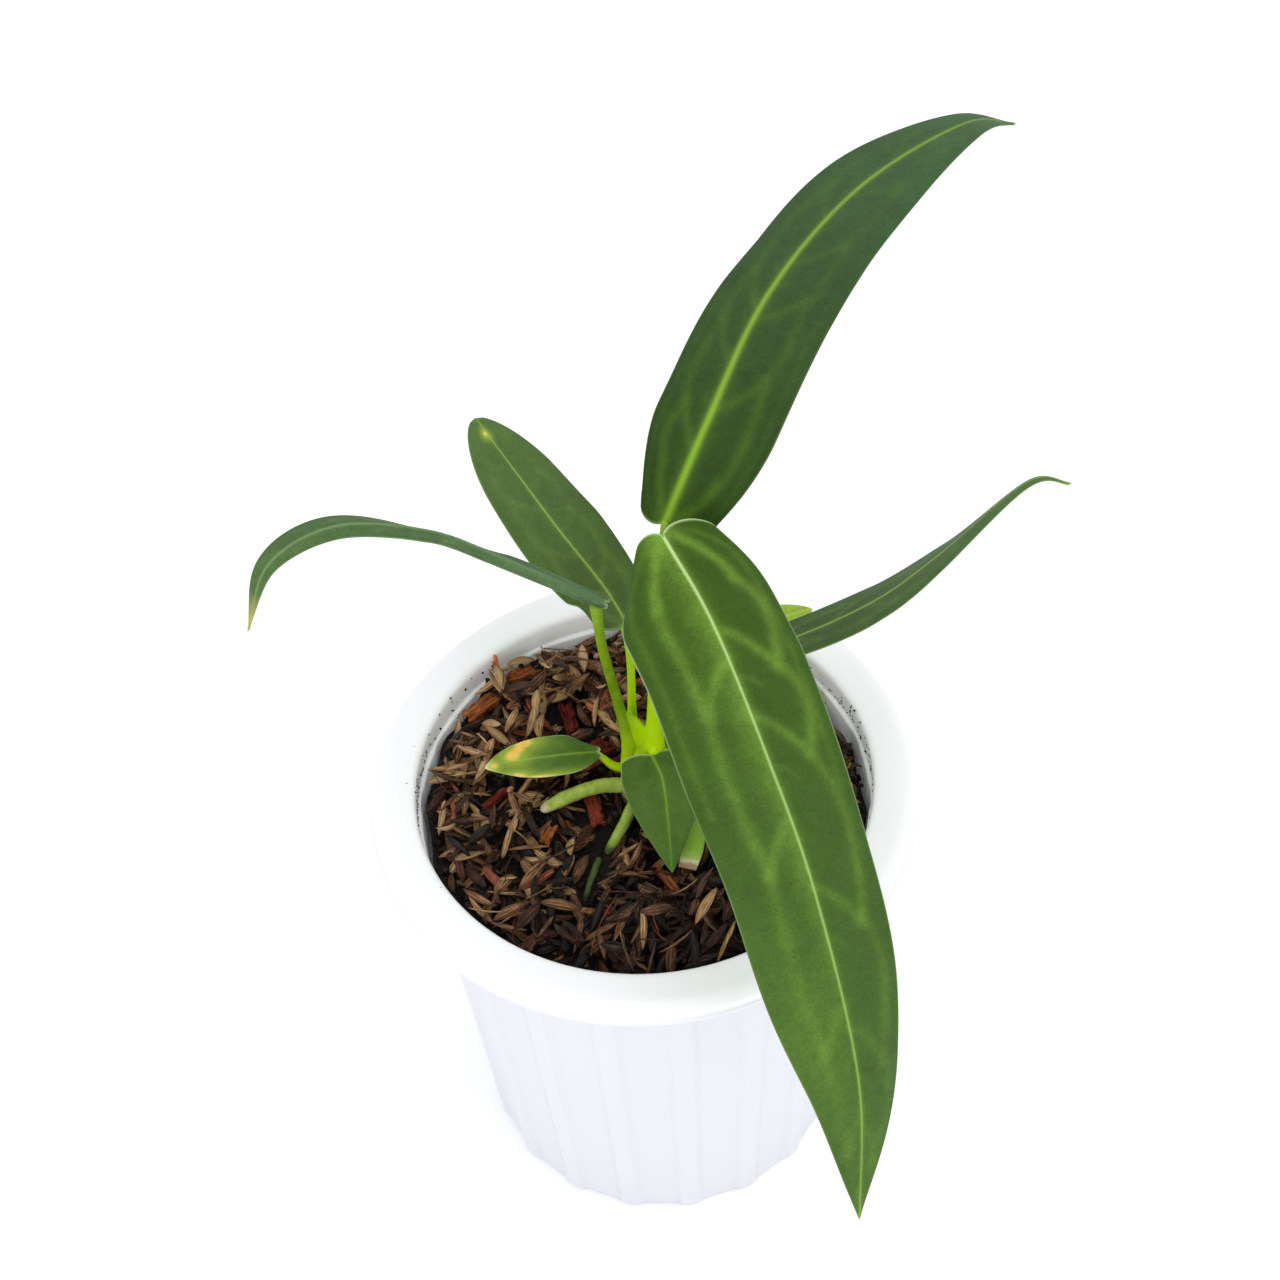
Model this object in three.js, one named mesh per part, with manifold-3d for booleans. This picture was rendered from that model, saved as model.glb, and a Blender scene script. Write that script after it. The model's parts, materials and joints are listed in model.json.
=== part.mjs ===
// Potted queen anthurium: a young aroid with strap leaves, growing in husk mix in a fluted pot.
// Millimetres, +Z up. The origin is the centre of the pot's flat underside and -Y is the front.
import * as THREE from 'three';
import { mergeVertices } from 'three/addons/utils/BufferGeometryUtils.js';
import Module from 'manifold-3d';

const wasm = await Module();
wasm.setup();

// Clearance between pieces that touch.
const GAP = 0.3;

// Pot: a thin moulded wall with concave flutes, a rolled rim and a drained floor.
const POT_HEIGHT = 124;
const POT_BASE_RADIUS = 44.8;
const POT_TOP_RADIUS = 55;
const POT_WALL = 1.2;
const POT_FLOOR = 2;
const RIM_RADIUS = 65.3;
const RIM_DROP = 6.3;
const RIM_WALL = 1.6;
const RIM_CREST_RADIUS = 60;
const STEP_RADIUS = 54.4;
const STEP_DROP = 7.4;
const FLUTES = 18;
const FLUTE_DEPTH = 1.2;
const FLUTE_STEPS = 4;
const FIRST_RIDGE_DEGREES = 5;
const DRAIN_HOLES = 6;
const DRAIN_RADIUS = 4;
const DRAIN_CIRCLE = 27;

// Growing mix: a packed body with a layer of rice husks and bark chips on it.
const MIX_TOP = 110.8;
const MULCH_TOP = 113;
const MULCH_BUMP = 0.9;
const HEAP_RISE = 4;
const HEAP_DEGREES = 145;
const HUSKS = 130;
const HUSK_LENGTH = 13;
const HUSK_WIDTH = 4.4;
const HUSK_THICKNESS = 3;
const HUSK_SEED = 41;
const GOLDEN_ANGLE = Math.PI * (3 - Math.sqrt(5));

// Stem, crown and leaves.
const STEM_RADIUS = 5.2;
const SCAR_PITCH = 4.5;
const SCAR_HEIGHT = 0.35;
const BLADE_THICKNESS = 0.8;
const KEEL_DEPTH = 0.8;
const BLADE_COLUMNS = [-1, -0.85, -0.5, -0.12, 0, 0.12, 0.5, 0.85, 1];
const ROW_CROWDING = 1.3;
const LOBE_FADE = 4;
const LOBE_CREST = 0.46;
const LOBE_ROUNDNESS = 0.72;
const WAVES = 3;
const WAVE_SHIFT = 1.9;

const vector = (p) => new THREE.Vector3(...p);

// A value at s (0 to 1) from a list of values spread evenly along a piece.
function between(values, s) {
  const x = THREE.MathUtils.clamp(s, 0, 1) * (values.length - 1);
  const i = Math.min(Math.floor(x), values.length - 2);
  return THREE.MathUtils.lerp(values[i], values[i + 1], x - i);
}

// Repeatable random numbers from 0 to 1.
function seeded(seed) {
  let state = seed;
  return () => {
    state = (state + 0x6d2b79f5) | 0;
    let t = Math.imul(state ^ (state >>> 15), 1 | state);
    t = (t + Math.imul(t ^ (t >>> 7), 61 | t)) ^ t;
    return ((t ^ (t >>> 14)) >>> 0) / 4294967296;
  };
}

// A geometry with shared corners merged, no empty triangles, and its faces pointing out.
function closed(geometry) {
  const bare = new THREE.BufferGeometry();
  bare.setAttribute('position', geometry.getAttribute('position').clone());
  if (geometry.index) bare.setIndex(geometry.index.clone());
  const merged = mergeVertices(bare, 1e-4);
  const corners = merged.index.array;
  const position = merged.getAttribute('position');
  const [a, b, c] = [new THREE.Vector3(), new THREE.Vector3(), new THREE.Vector3()];
  const kept = [];
  let volume = 0;
  for (let i = 0; i < corners.length; i += 3) {
    const [p, q, r] = [corners[i], corners[i + 1], corners[i + 2]];
    if (p === q || q === r || r === p) continue;
    kept.push(p, q, r);
    a.fromBufferAttribute(position, p);
    b.fromBufferAttribute(position, q);
    c.fromBufferAttribute(position, r);
    volume += a.dot(b.cross(c));
  }
  if (volume < 0) kept.reverse();
  merged.setIndex(kept);
  return merged;
}

// Joining and cutting of closed geometries.
function solid(geometry) {
  const shape = closed(geometry);
  return new wasm.Manifold(new wasm.Mesh({
    numProp: 3,
    vertProperties: new Float32Array(shape.getAttribute('position').array),
    triVerts: new Uint32Array(shape.index.array),
  }));
}

// The largest body of a solid, as a geometry.
function geometryOf(body) {
  const pieces = body.decompose().sort((p, q) => q.volume() - p.volume());
  const mesh = pieces[0].getMesh();
  const geometry = new THREE.BufferGeometry();
  geometry.setAttribute('position', new THREE.BufferAttribute(mesh.vertProperties, 3));
  geometry.setIndex([...mesh.triVerts]);
  return geometry;
}

// A closed skin over rings of points, each ring the same length, with a point closing either end.
function loft(rings, tips = []) {
  const sides = rings[0].length;
  const points = rings.flat();
  const middle = (ring) => ring.reduce((sum, p) => sum.add(p), new THREE.Vector3()).divideScalar(sides);
  const first = points.push(tips[0] ?? middle(rings[0])) - 1;
  const last = points.push(tips[1] ?? middle(rings[rings.length - 1])) - 1;
  const top = (rings.length - 1) * sides;
  const index = [];
  for (let k = 0; k < sides; k += 1) {
    const next = (k + 1) % sides;
    index.push(first, next, k, last, top + k, top + next);
    for (let r = 0; r < rings.length - 1; r += 1) {
      const [low, high] = [r * sides, (r + 1) * sides];
      index.push(low + k, low + next, high + k, low + next, high + next, high + k);
    }
  }
  const geometry = new THREE.BufferGeometry().setFromPoints(points);
  geometry.setIndex(index);
  return geometry;
}

// A round stalk along a smooth path; radii run from its foot to its top.
function stalk({ path, radii, sides = 8, steps = 10, ridge = () => 0 }, grow = 0) {
  const curve = new THREE.CatmullRomCurve3(path.map(vector), false, 'catmullrom', 0.5);
  const frames = curve.computeFrenetFrames(steps, false);
  const rings = [];
  for (let i = 0; i <= steps; i += 1) {
    const s = i / steps;
    const centre = curve.getPointAt(s);
    if (i === 0) centre.addScaledVector(frames.tangents[0], -grow);
    if (i === steps) centre.addScaledVector(frames.tangents[steps], grow);
    const radius = between(radii, s) + grow + ridge(s * curve.getLength());
    const ring = [];
    for (let k = 0; k < sides; k += 1) {
      const turn = (k / sides) * 2 * Math.PI;
      ring.push(centre.clone()
        .addScaledVector(frames.normals[i], Math.cos(turn) * radius)
        .addScaledVector(frames.binormals[i], Math.sin(turn) * radius));
    }
    rings.push(ring);
  }
  return loft(rings);
}

// Pot surfaces turned about Z. A profile point is [radius, height, share of the flute's depth].
function fluted(profile) {
  const segments = FLUTES * FLUTE_STEPS;
  const start = THREE.MathUtils.degToRad(FIRST_RIDGE_DEGREES);
  const outline = profile.map(([radius, height]) => new THREE.Vector2(radius, height));
  const lathe = new THREE.LatheGeometry(outline, segments, start);
  const position = lathe.getAttribute('position');
  for (let i = 0; i <= segments; i += 1) {
    const hollow = FLUTE_DEPTH * Math.sin(((i % FLUTE_STEPS) / FLUTE_STEPS) * Math.PI);
    profile.forEach(([radius, height, share], j) => {
      const at = i * profile.length + j;
      const scale = radius > 0 ? (radius - share * hollow) / radius : 0;
      position.setXYZ(at, position.getX(at) * scale, height, position.getZ(at) * scale);
    });
  }
  return lathe.rotateX(Math.PI / 2);
}

// Radius of the inside of the wall at a height, on a ridge.
function innerRadius(height) {
  const share = (height - POT_FLOOR) / (POT_HEIGHT - STEP_DROP - POT_FLOOR);
  return THREE.MathUtils.lerp(POT_BASE_RADIUS, POT_TOP_RADIUS, share) - POT_WALL;
}

function pot() {
  const lip = POT_HEIGHT - RIM_DROP;
  const step = POT_HEIGHT - STEP_DROP;
  const underRim = POT_HEIGHT - 2.1;
  const neck = STEP_RADIUS + 2;
  const skirt = RIM_RADIUS - RIM_WALL;
  const shell = fluted([
    [0, 0, 0],
    [POT_BASE_RADIUS - 1.6, 0, 0.6],
    [POT_BASE_RADIUS, 1.6, 1],
    [POT_TOP_RADIUS, step - 1.8, 1],
    [neck, step + 0.8, 0],
    [neck, underRim, 0],
    [skirt, underRim - 0.6, 0],
    [skirt, lip, 0],
    [RIM_RADIUS - 0.3, lip, 0],
    [RIM_RADIUS, POT_HEIGHT - 2.4, 0],
    [RIM_RADIUS - 1.4, POT_HEIGHT - 0.8, 0],
    [RIM_CREST_RADIUS, POT_HEIGHT, 0],
    [STEP_RADIUS + 1, POT_HEIGHT - 0.1, 0],
    [STEP_RADIUS - 0.2, POT_HEIGHT - 1.2, 0],
    [STEP_RADIUS, step, 0],
    [innerRadius(step), step - 0.3, 1],
    [innerRadius(POT_FLOOR), POT_FLOOR, 1],
    [0, POT_FLOOR, 0],
  ]);
  let body = solid(shell);
  for (let k = 0; k < DRAIN_HOLES; k += 1) {
    const turn = (k / DRAIN_HOLES) * 2 * Math.PI;
    const drill = new THREE.CylinderGeometry(DRAIN_RADIUS, DRAIN_RADIUS, 3 * POT_FLOOR, 12)
      .rotateX(Math.PI / 2)
      .translate(DRAIN_CIRCLE * Math.cos(turn), DRAIN_CIRCLE * Math.sin(turn), POT_FLOOR / 2);
    body = body.subtract(solid(drill));
  }
  return body;
}

// Packed mix from the floor to just under the husks.
function mixBody() {
  const bottom = POT_FLOOR + GAP;
  return solid(fluted([
    [0, bottom, 0],
    [innerRadius(bottom) - GAP - 0.1, bottom, 1],
    [innerRadius(MIX_TOP) - GAP - 0.1, MIX_TOP, 1],
    [0, MIX_TOP, 0],
  ]));
}

// Uneven height of the top layer: two crossed ripples, and a heap against the wall at the back left.
function bump(x, y) {
  const broad = Math.sin(x / 6.1 + 0.7) * Math.cos(y / 7.3);
  const slanted = Math.sin((x - y) / 4.7);
  const towardsHeap = Math.max(0, Math.cos(Math.atan2(y, x) - THREE.MathUtils.degToRad(HEAP_DEGREES)));
  const heap = HEAP_RISE * towardsHeap * (Math.hypot(x, y) / innerRadius(MIX_TOP)) ** 5;
  return MULCH_BUMP * (broad + 0.5 * slanted) + heap;
}

// One husk: a thin boat with a pointed nose and tail, long side on X.
function husk(length, width, thickness) {
  const waist = [[width / 2, 0], [0, thickness / 2], [-width / 2, 0], [0, -thickness / 2]]
    .map(([y, z]) => new THREE.Vector3(length * 0.06, y, z));
  return loft([waist], [new THREE.Vector3(-length / 2, 0, 0), new THREE.Vector3(length / 2, 0, 0)]);
}

// Top layer: a bumpy bed with husks lying on it at random, one body.
function mulchBody() {
  const low = MIX_TOP + GAP;
  const edge = innerRadius(MIX_TOP) - GAP - 0.1;
  const bed = fluted([
    [0, low, 0],
    [edge, low, 1],
    [edge, MULCH_TOP, 1],
    [edge * 0.83, MULCH_TOP, 0],
    [edge * 0.66, MULCH_TOP, 0],
    [0, MULCH_TOP, 0],
  ]);
  const position = bed.getAttribute('position');
  for (let i = 0; i < position.count; i += 1) {
    const [x, y, z] = [position.getX(i), position.getY(i), position.getZ(i)];
    if (z > low + 1) position.setZ(i, z + bump(x, y));
  }
  const random = seeded(HUSK_SEED);
  const parts = [solid(bed)];
  for (let k = 0; k < HUSKS; k += 1) {
    const radius = (edge - 2.5) * Math.sqrt((k + random()) / HUSKS);
    const turn = k * GOLDEN_ANGLE + random();
    const size = 0.8 + 0.35 * random();
    const [x, y] = [radius * Math.cos(turn), radius * Math.sin(turn)];
    const [tilt, pitch, yaw] = [(random() - 0.5) * 1.2, (random() - 0.5) * 0.5, random() * 2 * Math.PI];
    const lie = new THREE.Euler(tilt, pitch, yaw, 'ZYX');
    const place = new THREE.Matrix4().makeRotationFromEuler(lie);
    place.setPosition(x, y, MULCH_TOP + bump(x, y) + 0.2 + 0.9 * random());
    parts.push(solid(husk(HUSK_LENGTH * size, HUSK_WIDTH, HUSK_THICKNESS).applyMatrix4(place)));
  }
  const keep = fluted([[0, low, 0], [edge, low, 1], [edge, POT_HEIGHT, 1], [0, POT_HEIGHT, 0]]);
  return wasm.Manifold.union(parts).intersect(solid(keep));
}

// Bark and fibre chips on the mix: centre, size, and how each is turned and tilted in degrees.
const CHIPS = [
  { at: [-38.6, 30.4, 117.6], size: [12, 4.6, 1.6], turn: 36, tilt: -8, colour: 0x9a4e1f },
  { at: [-17, 27, 114.4], size: [12, 4.4, 1.8], turn: -80, tilt: 0, colour: 0x7e2f22 },
  { at: [-12.4, 0, 113.9], size: [15, 4.6, 1.6], turn: -80, tilt: 0, colour: 0x7a2d22 },
  { at: [-10.5, 17.6, 114.2], size: [9, 5.5, 2], turn: 30, tilt: 8, colour: 0x6e2c20 },
  { at: [-36, 4.5, 114.6], size: [13, 2.4, 1.6], turn: 42, tilt: 0, colour: 0x86323a },
  { at: [43.6, 20, 114.8], size: [7.5, 5, 1.6], turn: 45, tilt: -10, colour: 0x7b3a22 },
  { at: [-23.6, -7, 114.6], size: [7, 3, 1.6], turn: 65, tilt: 0, colour: 0x9c4a1e },
  { at: [-27.8, 40.4, 117.4], size: [10, 4, 1.6], turn: 22, tilt: 6, colour: 0x8a5a2c },
];

// Half of a chip's outline is this share of its length and width.
const CHIP_OUTLINE = [
  [-1, -0.7], [-0.4, -1], [0.7, -0.9], [1, -0.35], [0.86, 0.8], [0.1, 1], [-0.8, 0.75], [-0.9, 0.1],
];

// A split chip: a flat piece with ragged ends.
function chip({ at, size, turn, tilt }, grow = 0) {
  const [length, width, thickness] = size.map((edge) => edge / 2 + grow);
  const outline = new THREE.Shape(CHIP_OUTLINE.map(([x, y]) => new THREE.Vector2(x * length, y * width)));
  const block = new THREE.ExtrudeGeometry(outline, { depth: 2 * thickness, bevelEnabled: false });
  const [pitch, yaw] = [tilt, turn].map(THREE.MathUtils.degToRad);
  const place = new THREE.Matrix4().makeRotationFromEuler(new THREE.Euler(0, pitch, yaw, 'ZYX'));
  place.setPosition(...at);
  return solid(block.translate(0, 0, -thickness).applyMatrix4(place));
}

// Main stem, ringed with old leaf scars, and the aerial roots that it puts out.
const STEM = {
  path: [[-3.4, 2.5, 86], [-2.6, 4, 100], [-1, 6.5, 112], [0.6, 8, 119]],
  radii: [4.2, STEM_RADIUS, STEM_RADIUS, 4.6],
  sides: 10,
  steps: 12,
  ridge: (run) => SCAR_HEIGHT * Math.cos((run / SCAR_PITCH) * 2 * Math.PI),
};
const ROOTS = {
  root_left: {
    path: [
      [-3, 4.6, 116.2], [-10.2, 3.8, 117.8], [-16.5, 2.1, 117.8],
      [-21.9, 0, 117.2], [-25.1, -1.4, 116.7],
    ],
    radii: [1.9, 1.8, 1.7, 1.75, 1.2],
    steps: 10,
  },
  root_front: {
    path: [
      [-1.8, 2.4, 113.2], [-3.2, -1.2, 115.2], [-5.2, -5.8, 115.5],
      [-7.6, -9.6, 114.5], [-10.2, -12.6, 112.4],
    ],
    radii: [1.6, 1.5, 1.4, 1.3, 1],
    steps: 8,
  },
  root_thin: {
    path: [[-12, -14.6, 113.4], [-13.2, -18.6, 114.4], [-14.8, -23, 114.2], [-16.2, -26.6, 112.8]],
    radii: [0.8, 0.9, 0.8, 0.6],
    sides: 6,
    steps: 6,
  },
};

// Leaves. rib: the midrib from the notch to the tip. half: half the greatest width, which lies at
// widest (share of the length); base: share of it at the notch; belly and taper shape the way to
// the tip; lobe: how far the base lobes reach behind the notch; skew: how much wider the u = 1 side
// is along the leaf, and lean the same of the base. face: the way the upper face looks; fold
// and curl: rise of the halves in degrees; wave: height of the waved edge; roll: radius to which the
// back of the u = -1 lobe is rolled down, where it is; rows: rows of the mesh.
const LEAVES = {
  back_right: {
    rib: [
      [9.5, 19.5, 194], [20, 31, 212], [36, 57, 224.5],
      [58.5, 82, 231], [84.5, 98.5, 233.5], [98.5, 106, 226],
    ],
    half: 14.8, base: 0.56, widest: 0.19, belly: 2, taper: 1.1, lobe: 2.2, lean: -0.14,
    skew: [-0.03, -0.11, -0.17, -0.1, -0.06],
    face: [[-0.3, -0.8, 1], [-0.5, -0.4, 1], [-0.3, 0.05, 1]],
    fold: [-8, 8], curl: [-5, -12], wave: 0.5, rows: 18,
    petiole: {
      path: [[3.2, 12.2, 119], [4.2, 13.4, 140], [6.4, 16.2, 170], [8.8, 18.6, 192]],
      radii: [2, 1.7, 1.5, 1.5],
    },
  },
  front: {
    rib: [
      [8.5, 4.5, 205], [17.5, -15.5, 198.5], [27, -45.5, 187],
      [34.5, -70.5, 172], [41, -97, 140.5], [39.5, -116, 113],
    ],
    half: 18.6, base: 0.6, widest: 0.11, belly: 2.4, taper: 1.12, lobe: 3.2, lean: 0.35, skew: [-0.03, -0.03],
    face: [[0.1, -0.5, 1], [0.7, -1.1, 1], [0.6, -0.7, 1]],
    fold: [-26, -5, -4, -3, -1, 0], curl: [-8, -16], wave: 0.8, roll: 5, rows: 18,
    petiole: {
      path: [[2.5, 7, 119], [4, 8.2, 140], [6.4, 8.8, 175], [8, 6.5, 199], [8.7, 4, 204.6]],
      radii: [2.3, 1.9, 1.6, 1.6, 1.7],
    },
  },
  left: {
    rib: [
      [-6.5, 12.5, 176], [-28, 20, 184.5], [-45, 33.5, 180.5],
      [-66.5, 38, 179.5], [-82.5, 31.5, 175.5], [-89.5, 24.5, 160],
    ],
    half: 4, base: 0.56, widest: 0.58, belly: 1.5, taper: 1.1, lobe: 2, lean: 0,
    skew: [-0.1, -0.33, -0.2, -0.22, -0.35],
    face: [[0, -0.5, 1], [0.8, 0.1, 1], [-0.5, -0.5, 1]],
    fold: [-40, -10], curl: [-20, 0], wave: 0, rows: 16,
    petiole: {
      path: [
        [-2.4, 7.6, 119], [-3.1, 9.2, 130], [-4.7, 11, 141],
        [-7.1, 12.6, 158], [-7.9, 12.9, 173.9],
      ],
      radii: [2, 1.4, 1.2, 1.15, 1.3],
    },
  },
  back_left: {
    rib: [
      [-2, 22.5, 157.5], [-6.5, 32.5, 158.5], [-15.5, 41, 169],
      [-24.5, 56, 173], [-33.5, 70, 178.5],
    ],
    half: 11.25, base: 0.65, widest: 0.4, belly: 1.54, taper: 0.56, lobe: 3, lean: 0, skew: [0.02, 0.02],
    face: [[0.45, -0.6, 1], [0.55, -0.5, 1], [0.55, -0.2, 1]],
    fold: [7, 6], curl: [-9, -9], wave: 0, rows: 14,
    petiole: {
      path: [
        [-1.6, 12.4, 119], [-1.5, 15.5, 130], [-1, 19.4, 142],
        [-1.2, 21.6, 150], [-2, 22.3, 157],
      ],
      radii: [1.3, 1.05, 0.95, 0.95, 1],
    },
  },
  right: {
    rib: [
      [19.5, 9, 156.5], [36.5, 7.5, 163], [56, 9.5, 172],
      [71, 13, 182.5], [90.5, 17.5, 199.5], [100.5, 17.5, 198],
    ],
    half: 8.6, base: 0.75, widest: 0.38, belly: 0.7, taper: 1, lobe: 2, lean: 0, skew: [0, 0, 0.02, 0.02, 0],
    face: [[0, 0.25, 1], [0.1, 0.4, 1], [0.35, 0.4, 1]],
    fold: [5, -7], curl: [-1, -17], wave: 0, rows: 16,
    petiole: {
      path: [[6.5, 9, 119], [9, 9.3, 132], [14, 9.4, 147], [19.5, 9, 156]],
      radii: [1.6, 1.4, 1.3, 1.3],
    },
  },
  small_left: {
    rib: [[-11, 10.3, 122.5], [-18.5, 8.4, 125], [-31, 7.9, 124.5], [-37.5, 6.6, 124.5]],
    half: 5.25, base: 0.35, widest: 0.3, belly: 1.5, taper: 0.8, lobe: 1.5, lean: 0, skew: [0, 0],
    face: [[-0.1, -0.05, 1], [0.15, -0.3, 1], [-0.2, -0.25, 1]],
    fold: [5, 10], curl: [-10, -7], wave: 0, rows: 8,
    petiole: {
      path: [[-2.8, 9.2, 116.2], [-6.8, 9.3, 118], [-9.4, 10.1, 120.6], [-11.2, 10.5, 122.3]],
      radii: [1.1, 1, 0.9, 0.9],
      steps: 6,
    },
  },
  small_front: {
    rib: [[2.5, 3.5, 128], [4.5, -5, 129], [5, -16.5, 124.5], [5, -24.5, 119.5]],
    half: 9.6, base: 0.8, widest: 0.25, belly: 0.85, taper: 0.93, lobe: 1.5, lean: 0, skew: [0, 0],
    face: [[0.15, -0.2, 1], [0.15, -0.3, 1], [0.2, -0.5, 1]],
    fold: [2, -6], curl: [-11, -15], wave: 0, rows: 8,
    petiole: {
      path: [[0.4, 3.4, 119], [0.9, 2.6, 122.5], [1.8, 2.4, 125.5], [2.5, 3.2, 127.8]],
      radii: [1.3, 1.2, 1.1, 1.1],
      steps: 6,
    },
  },
  small_right: {
    rib: [[17, 18, 142], [25, 22, 147], [34, 25, 149], [43, 27, 149.8]],
    half: 5, base: 0.6, widest: 0.4, belly: 1.5, taper: 0.8, lobe: 1.2, lean: 0, skew: [0, 0],
    face: [[-0.1, -0.1, 1], [-0.1, 0, 1], [0, 0.1, 1]],
    fold: [8, 8], curl: [-5, -5], wave: 0, rows: 8,
    petiole: {
      path: [[6.8, 12.6, 119], [9, 14.6, 128], [13, 16.6, 136.5], [17, 18, 141.8]],
      radii: [1.1, 1, 0.9, 0.9],
      steps: 6,
    },
  },
};

// A leaf cut off short, its end dried out.
const STUB = {
  path: [
    [3.4, 3.6, 117.6], [7.2, -2.5, 120.8], [10.4, -10, 120.6],
    [10.5, -16.3, 118.8], [8.6, -21.7, 116.9],
  ],
  widths: [1.4, 1.7, 2.6, 2.7, 2.2],
  thickness: 1,
};

for (const leaf of Object.values(LEAVES)) {
  leaf.curve = new THREE.CatmullRomCurve3(leaf.rib.map(vector), false, 'catmullrom', 0.5);
  leaf.curve.arcLengthDivisions = 400;
  leaf.length = leaf.curve.getLength();
}

function halfWidth(leaf, s, side) {
  const base = leaf.base * (1 + side * leaf.lean);
  const rise = base + (1 - base) * Math.sin((Math.PI / 2) * Math.min(s / leaf.widest, 1));
  const past = THREE.MathUtils.clamp((s - leaf.widest) / (1 - leaf.widest), 0, 1);
  const fall = Math.cos((Math.PI / 2) * past ** leaf.belly) ** leaf.taper;
  return leaf.half * rise * fall * (1 + side * between(leaf.skew, s));
}

// How far a base lobe reaches behind the notch at u, as a share of its greatest reach.
function lobeReach(out) {
  if (out < LOBE_CREST) return Math.sqrt(1 - (out / LOBE_CREST - 1) ** 2);
  return (1 - ((out - LOBE_CREST) / (1 - LOBE_CREST)) ** 2) ** LOBE_ROUNDNESS;
}

// A point of a blade's middle surface: s runs from the notch to the tip, u from one edge to the other.
function bladePoint(leaf, s, u) {
  const side = Math.sign(u);
  const out = Math.abs(u);
  const along = s - (leaf.lobe / leaf.length) * lobeReach(out) * (1 - s) ** LOBE_FADE;
  const inside = THREE.MathUtils.clamp(along, 0, 1);
  const tangent = leaf.curve.getTangentAt(inside);
  const point = leaf.curve.getPointAt(inside).addScaledVector(tangent, (along - inside) * leaf.length);
  const normal = vector([0, 1, 2].map((axis) => between(leaf.face.map((f) => f[axis]), s)));
  normal.addScaledVector(tangent, -normal.dot(tangent)).normalize();
  const across = normal.clone().cross(tangent);
  const width = halfWidth(leaf, s, side);
  const angle = THREE.MathUtils.degToRad(between(leaf.fold, s) + (between(leaf.curl, s) * out) / 2);
  const ripple = Math.sin(WAVES * 2 * Math.PI * s + WAVE_SHIFT * side) * out ** 3;
  const tame = Math.min(1, (1.2 * width) / leaf.half);
  let rise = out * width * Math.sin(angle) + leaf.wave * ripple * tame;
  const behind = Math.max(0, -along) * leaf.length;
  if (leaf.roll && side < 0) {
    rise -= leaf.roll * (1 - Math.cos(behind / leaf.roll));
    point.addScaledVector(tangent, behind - leaf.roll * Math.sin(behind / leaf.roll));
  }
  return point.addScaledVector(across, side * out * width * Math.cos(angle)).addScaledVector(normal, rise);
}

// A blade as a thin closed leaf with a keel under its midrib, thickened on all faces by grow.
function blade(leaf, grow = 0) {
  const columns = BLADE_COLUMNS.length;
  const upper = [];
  const lower = [];
  const step = 0.01;
  for (let row = 0; row < leaf.rows; row += 1) {
    const s = (row / leaf.rows) ** ROW_CROWDING;
    for (const u of BLADE_COLUMNS) {
      const point = bladePoint(leaf, s, u);
      const forward = bladePoint(leaf, s + step, u).sub(bladePoint(leaf, Math.max(0, s - step), u));
      const [inner, outer] = [Math.max(-1, u - step), Math.min(1, u + step)];
      const sideways = bladePoint(leaf, s, outer).sub(bladePoint(leaf, s, inner));
      if (row === 0) point.addScaledVector(forward.clone().normalize(), -grow);
      if (Math.abs(u) === 1) point.addScaledVector(sideways.clone().normalize(), u * grow);
      const normal = sideways.cross(forward).normalize().negate();
      const keel = u === 0 ? KEEL_DEPTH * (1 - 0.8 * s) : 0;
      upper.push(point.clone().addScaledVector(normal, BLADE_THICKNESS / 2 + grow));
      lower.push(point.addScaledVector(normal, -BLADE_THICKNESS / 2 - keel - grow));
    }
  }
  const tip = leaf.curve.getPointAt(1).addScaledVector(leaf.curve.getTangentAt(1), grow);
  const lift = vector(leaf.face.at(-1)).normalize().multiplyScalar(BLADE_THICKNESS / 2 + grow);
  upper.push(tip.clone().add(lift));
  lower.push(tip.clone().sub(lift));
  const count = upper.length;
  const index = [];
  const sheet = (a, b, c) => index.push(a, b, c, count + a, count + c, count + b);
  const wall = (a, b) => index.push(a, count + a, b, b, count + a, count + b);
  const end = count - 1;
  for (let row = 0; row < leaf.rows; row += 1) {
    const here = row * columns;
    for (let k = 0; k < columns - 1; k += 1) {
      if (row === leaf.rows - 1) {
        sheet(here + k, here + k + 1, end);
      } else {
        sheet(here + k, here + k + 1, here + columns + k);
        sheet(here + k + 1, here + columns + k + 1, here + columns + k);
      }
      if (row === 0) wall(k, k + 1);
    }
    const last = row === leaf.rows - 1;
    wall(last ? end : here + columns, here);
    wall(here + columns - 1, last ? end : here + 2 * columns - 1);
  }
  const geometry = new THREE.BufferGeometry().setFromPoints([...upper, ...lower]);
  geometry.setIndex(index);
  return geometry;
}

// The cut leaf stub: a flattened strap.
function stub(grow = 0) {
  const curve = new THREE.CatmullRomCurve3(STUB.path.map(vector), false, 'catmullrom', 0.5);
  const rings = [];
  const steps = 8;
  for (let i = 0; i <= steps; i += 1) {
    const tangent = curve.getTangentAt(i / steps);
    const across = tangent.clone().cross(new THREE.Vector3(0, 0, 1)).normalize();
    const up = across.clone().cross(tangent);
    const half = between(STUB.widths, i / steps) + grow;
    const thick = STUB.thickness / 2 + grow;
    const centre = curve.getPointAt(i / steps).addScaledVector(tangent, i === 0 ? -grow : 0);
    const flat = half / 2;
    const section = [[half, 0], [flat, thick], [-flat, thick], [-half, 0], [-flat, -thick], [flat, -thick]];
    rings.push(section.map(([x, y]) => centre.clone().addScaledVector(across, x).addScaledVector(up, y)));
  }
  return loft(rings);
}

// Crown: the sheathing leaf bases, in which the petioles stand. Its outline is [radius, height].
const CROWN_CENTRE = [1.8, 8.8];
const CROWN_OUTLINE = [
  [0, 112.4], [3.5, 112.6], [5.6, 114.4], [6.3, 117.4], [6.2, 120.4],
  [5.4, 124], [4, 127], [2.2, 128.6], [0, 129],
];

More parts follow.
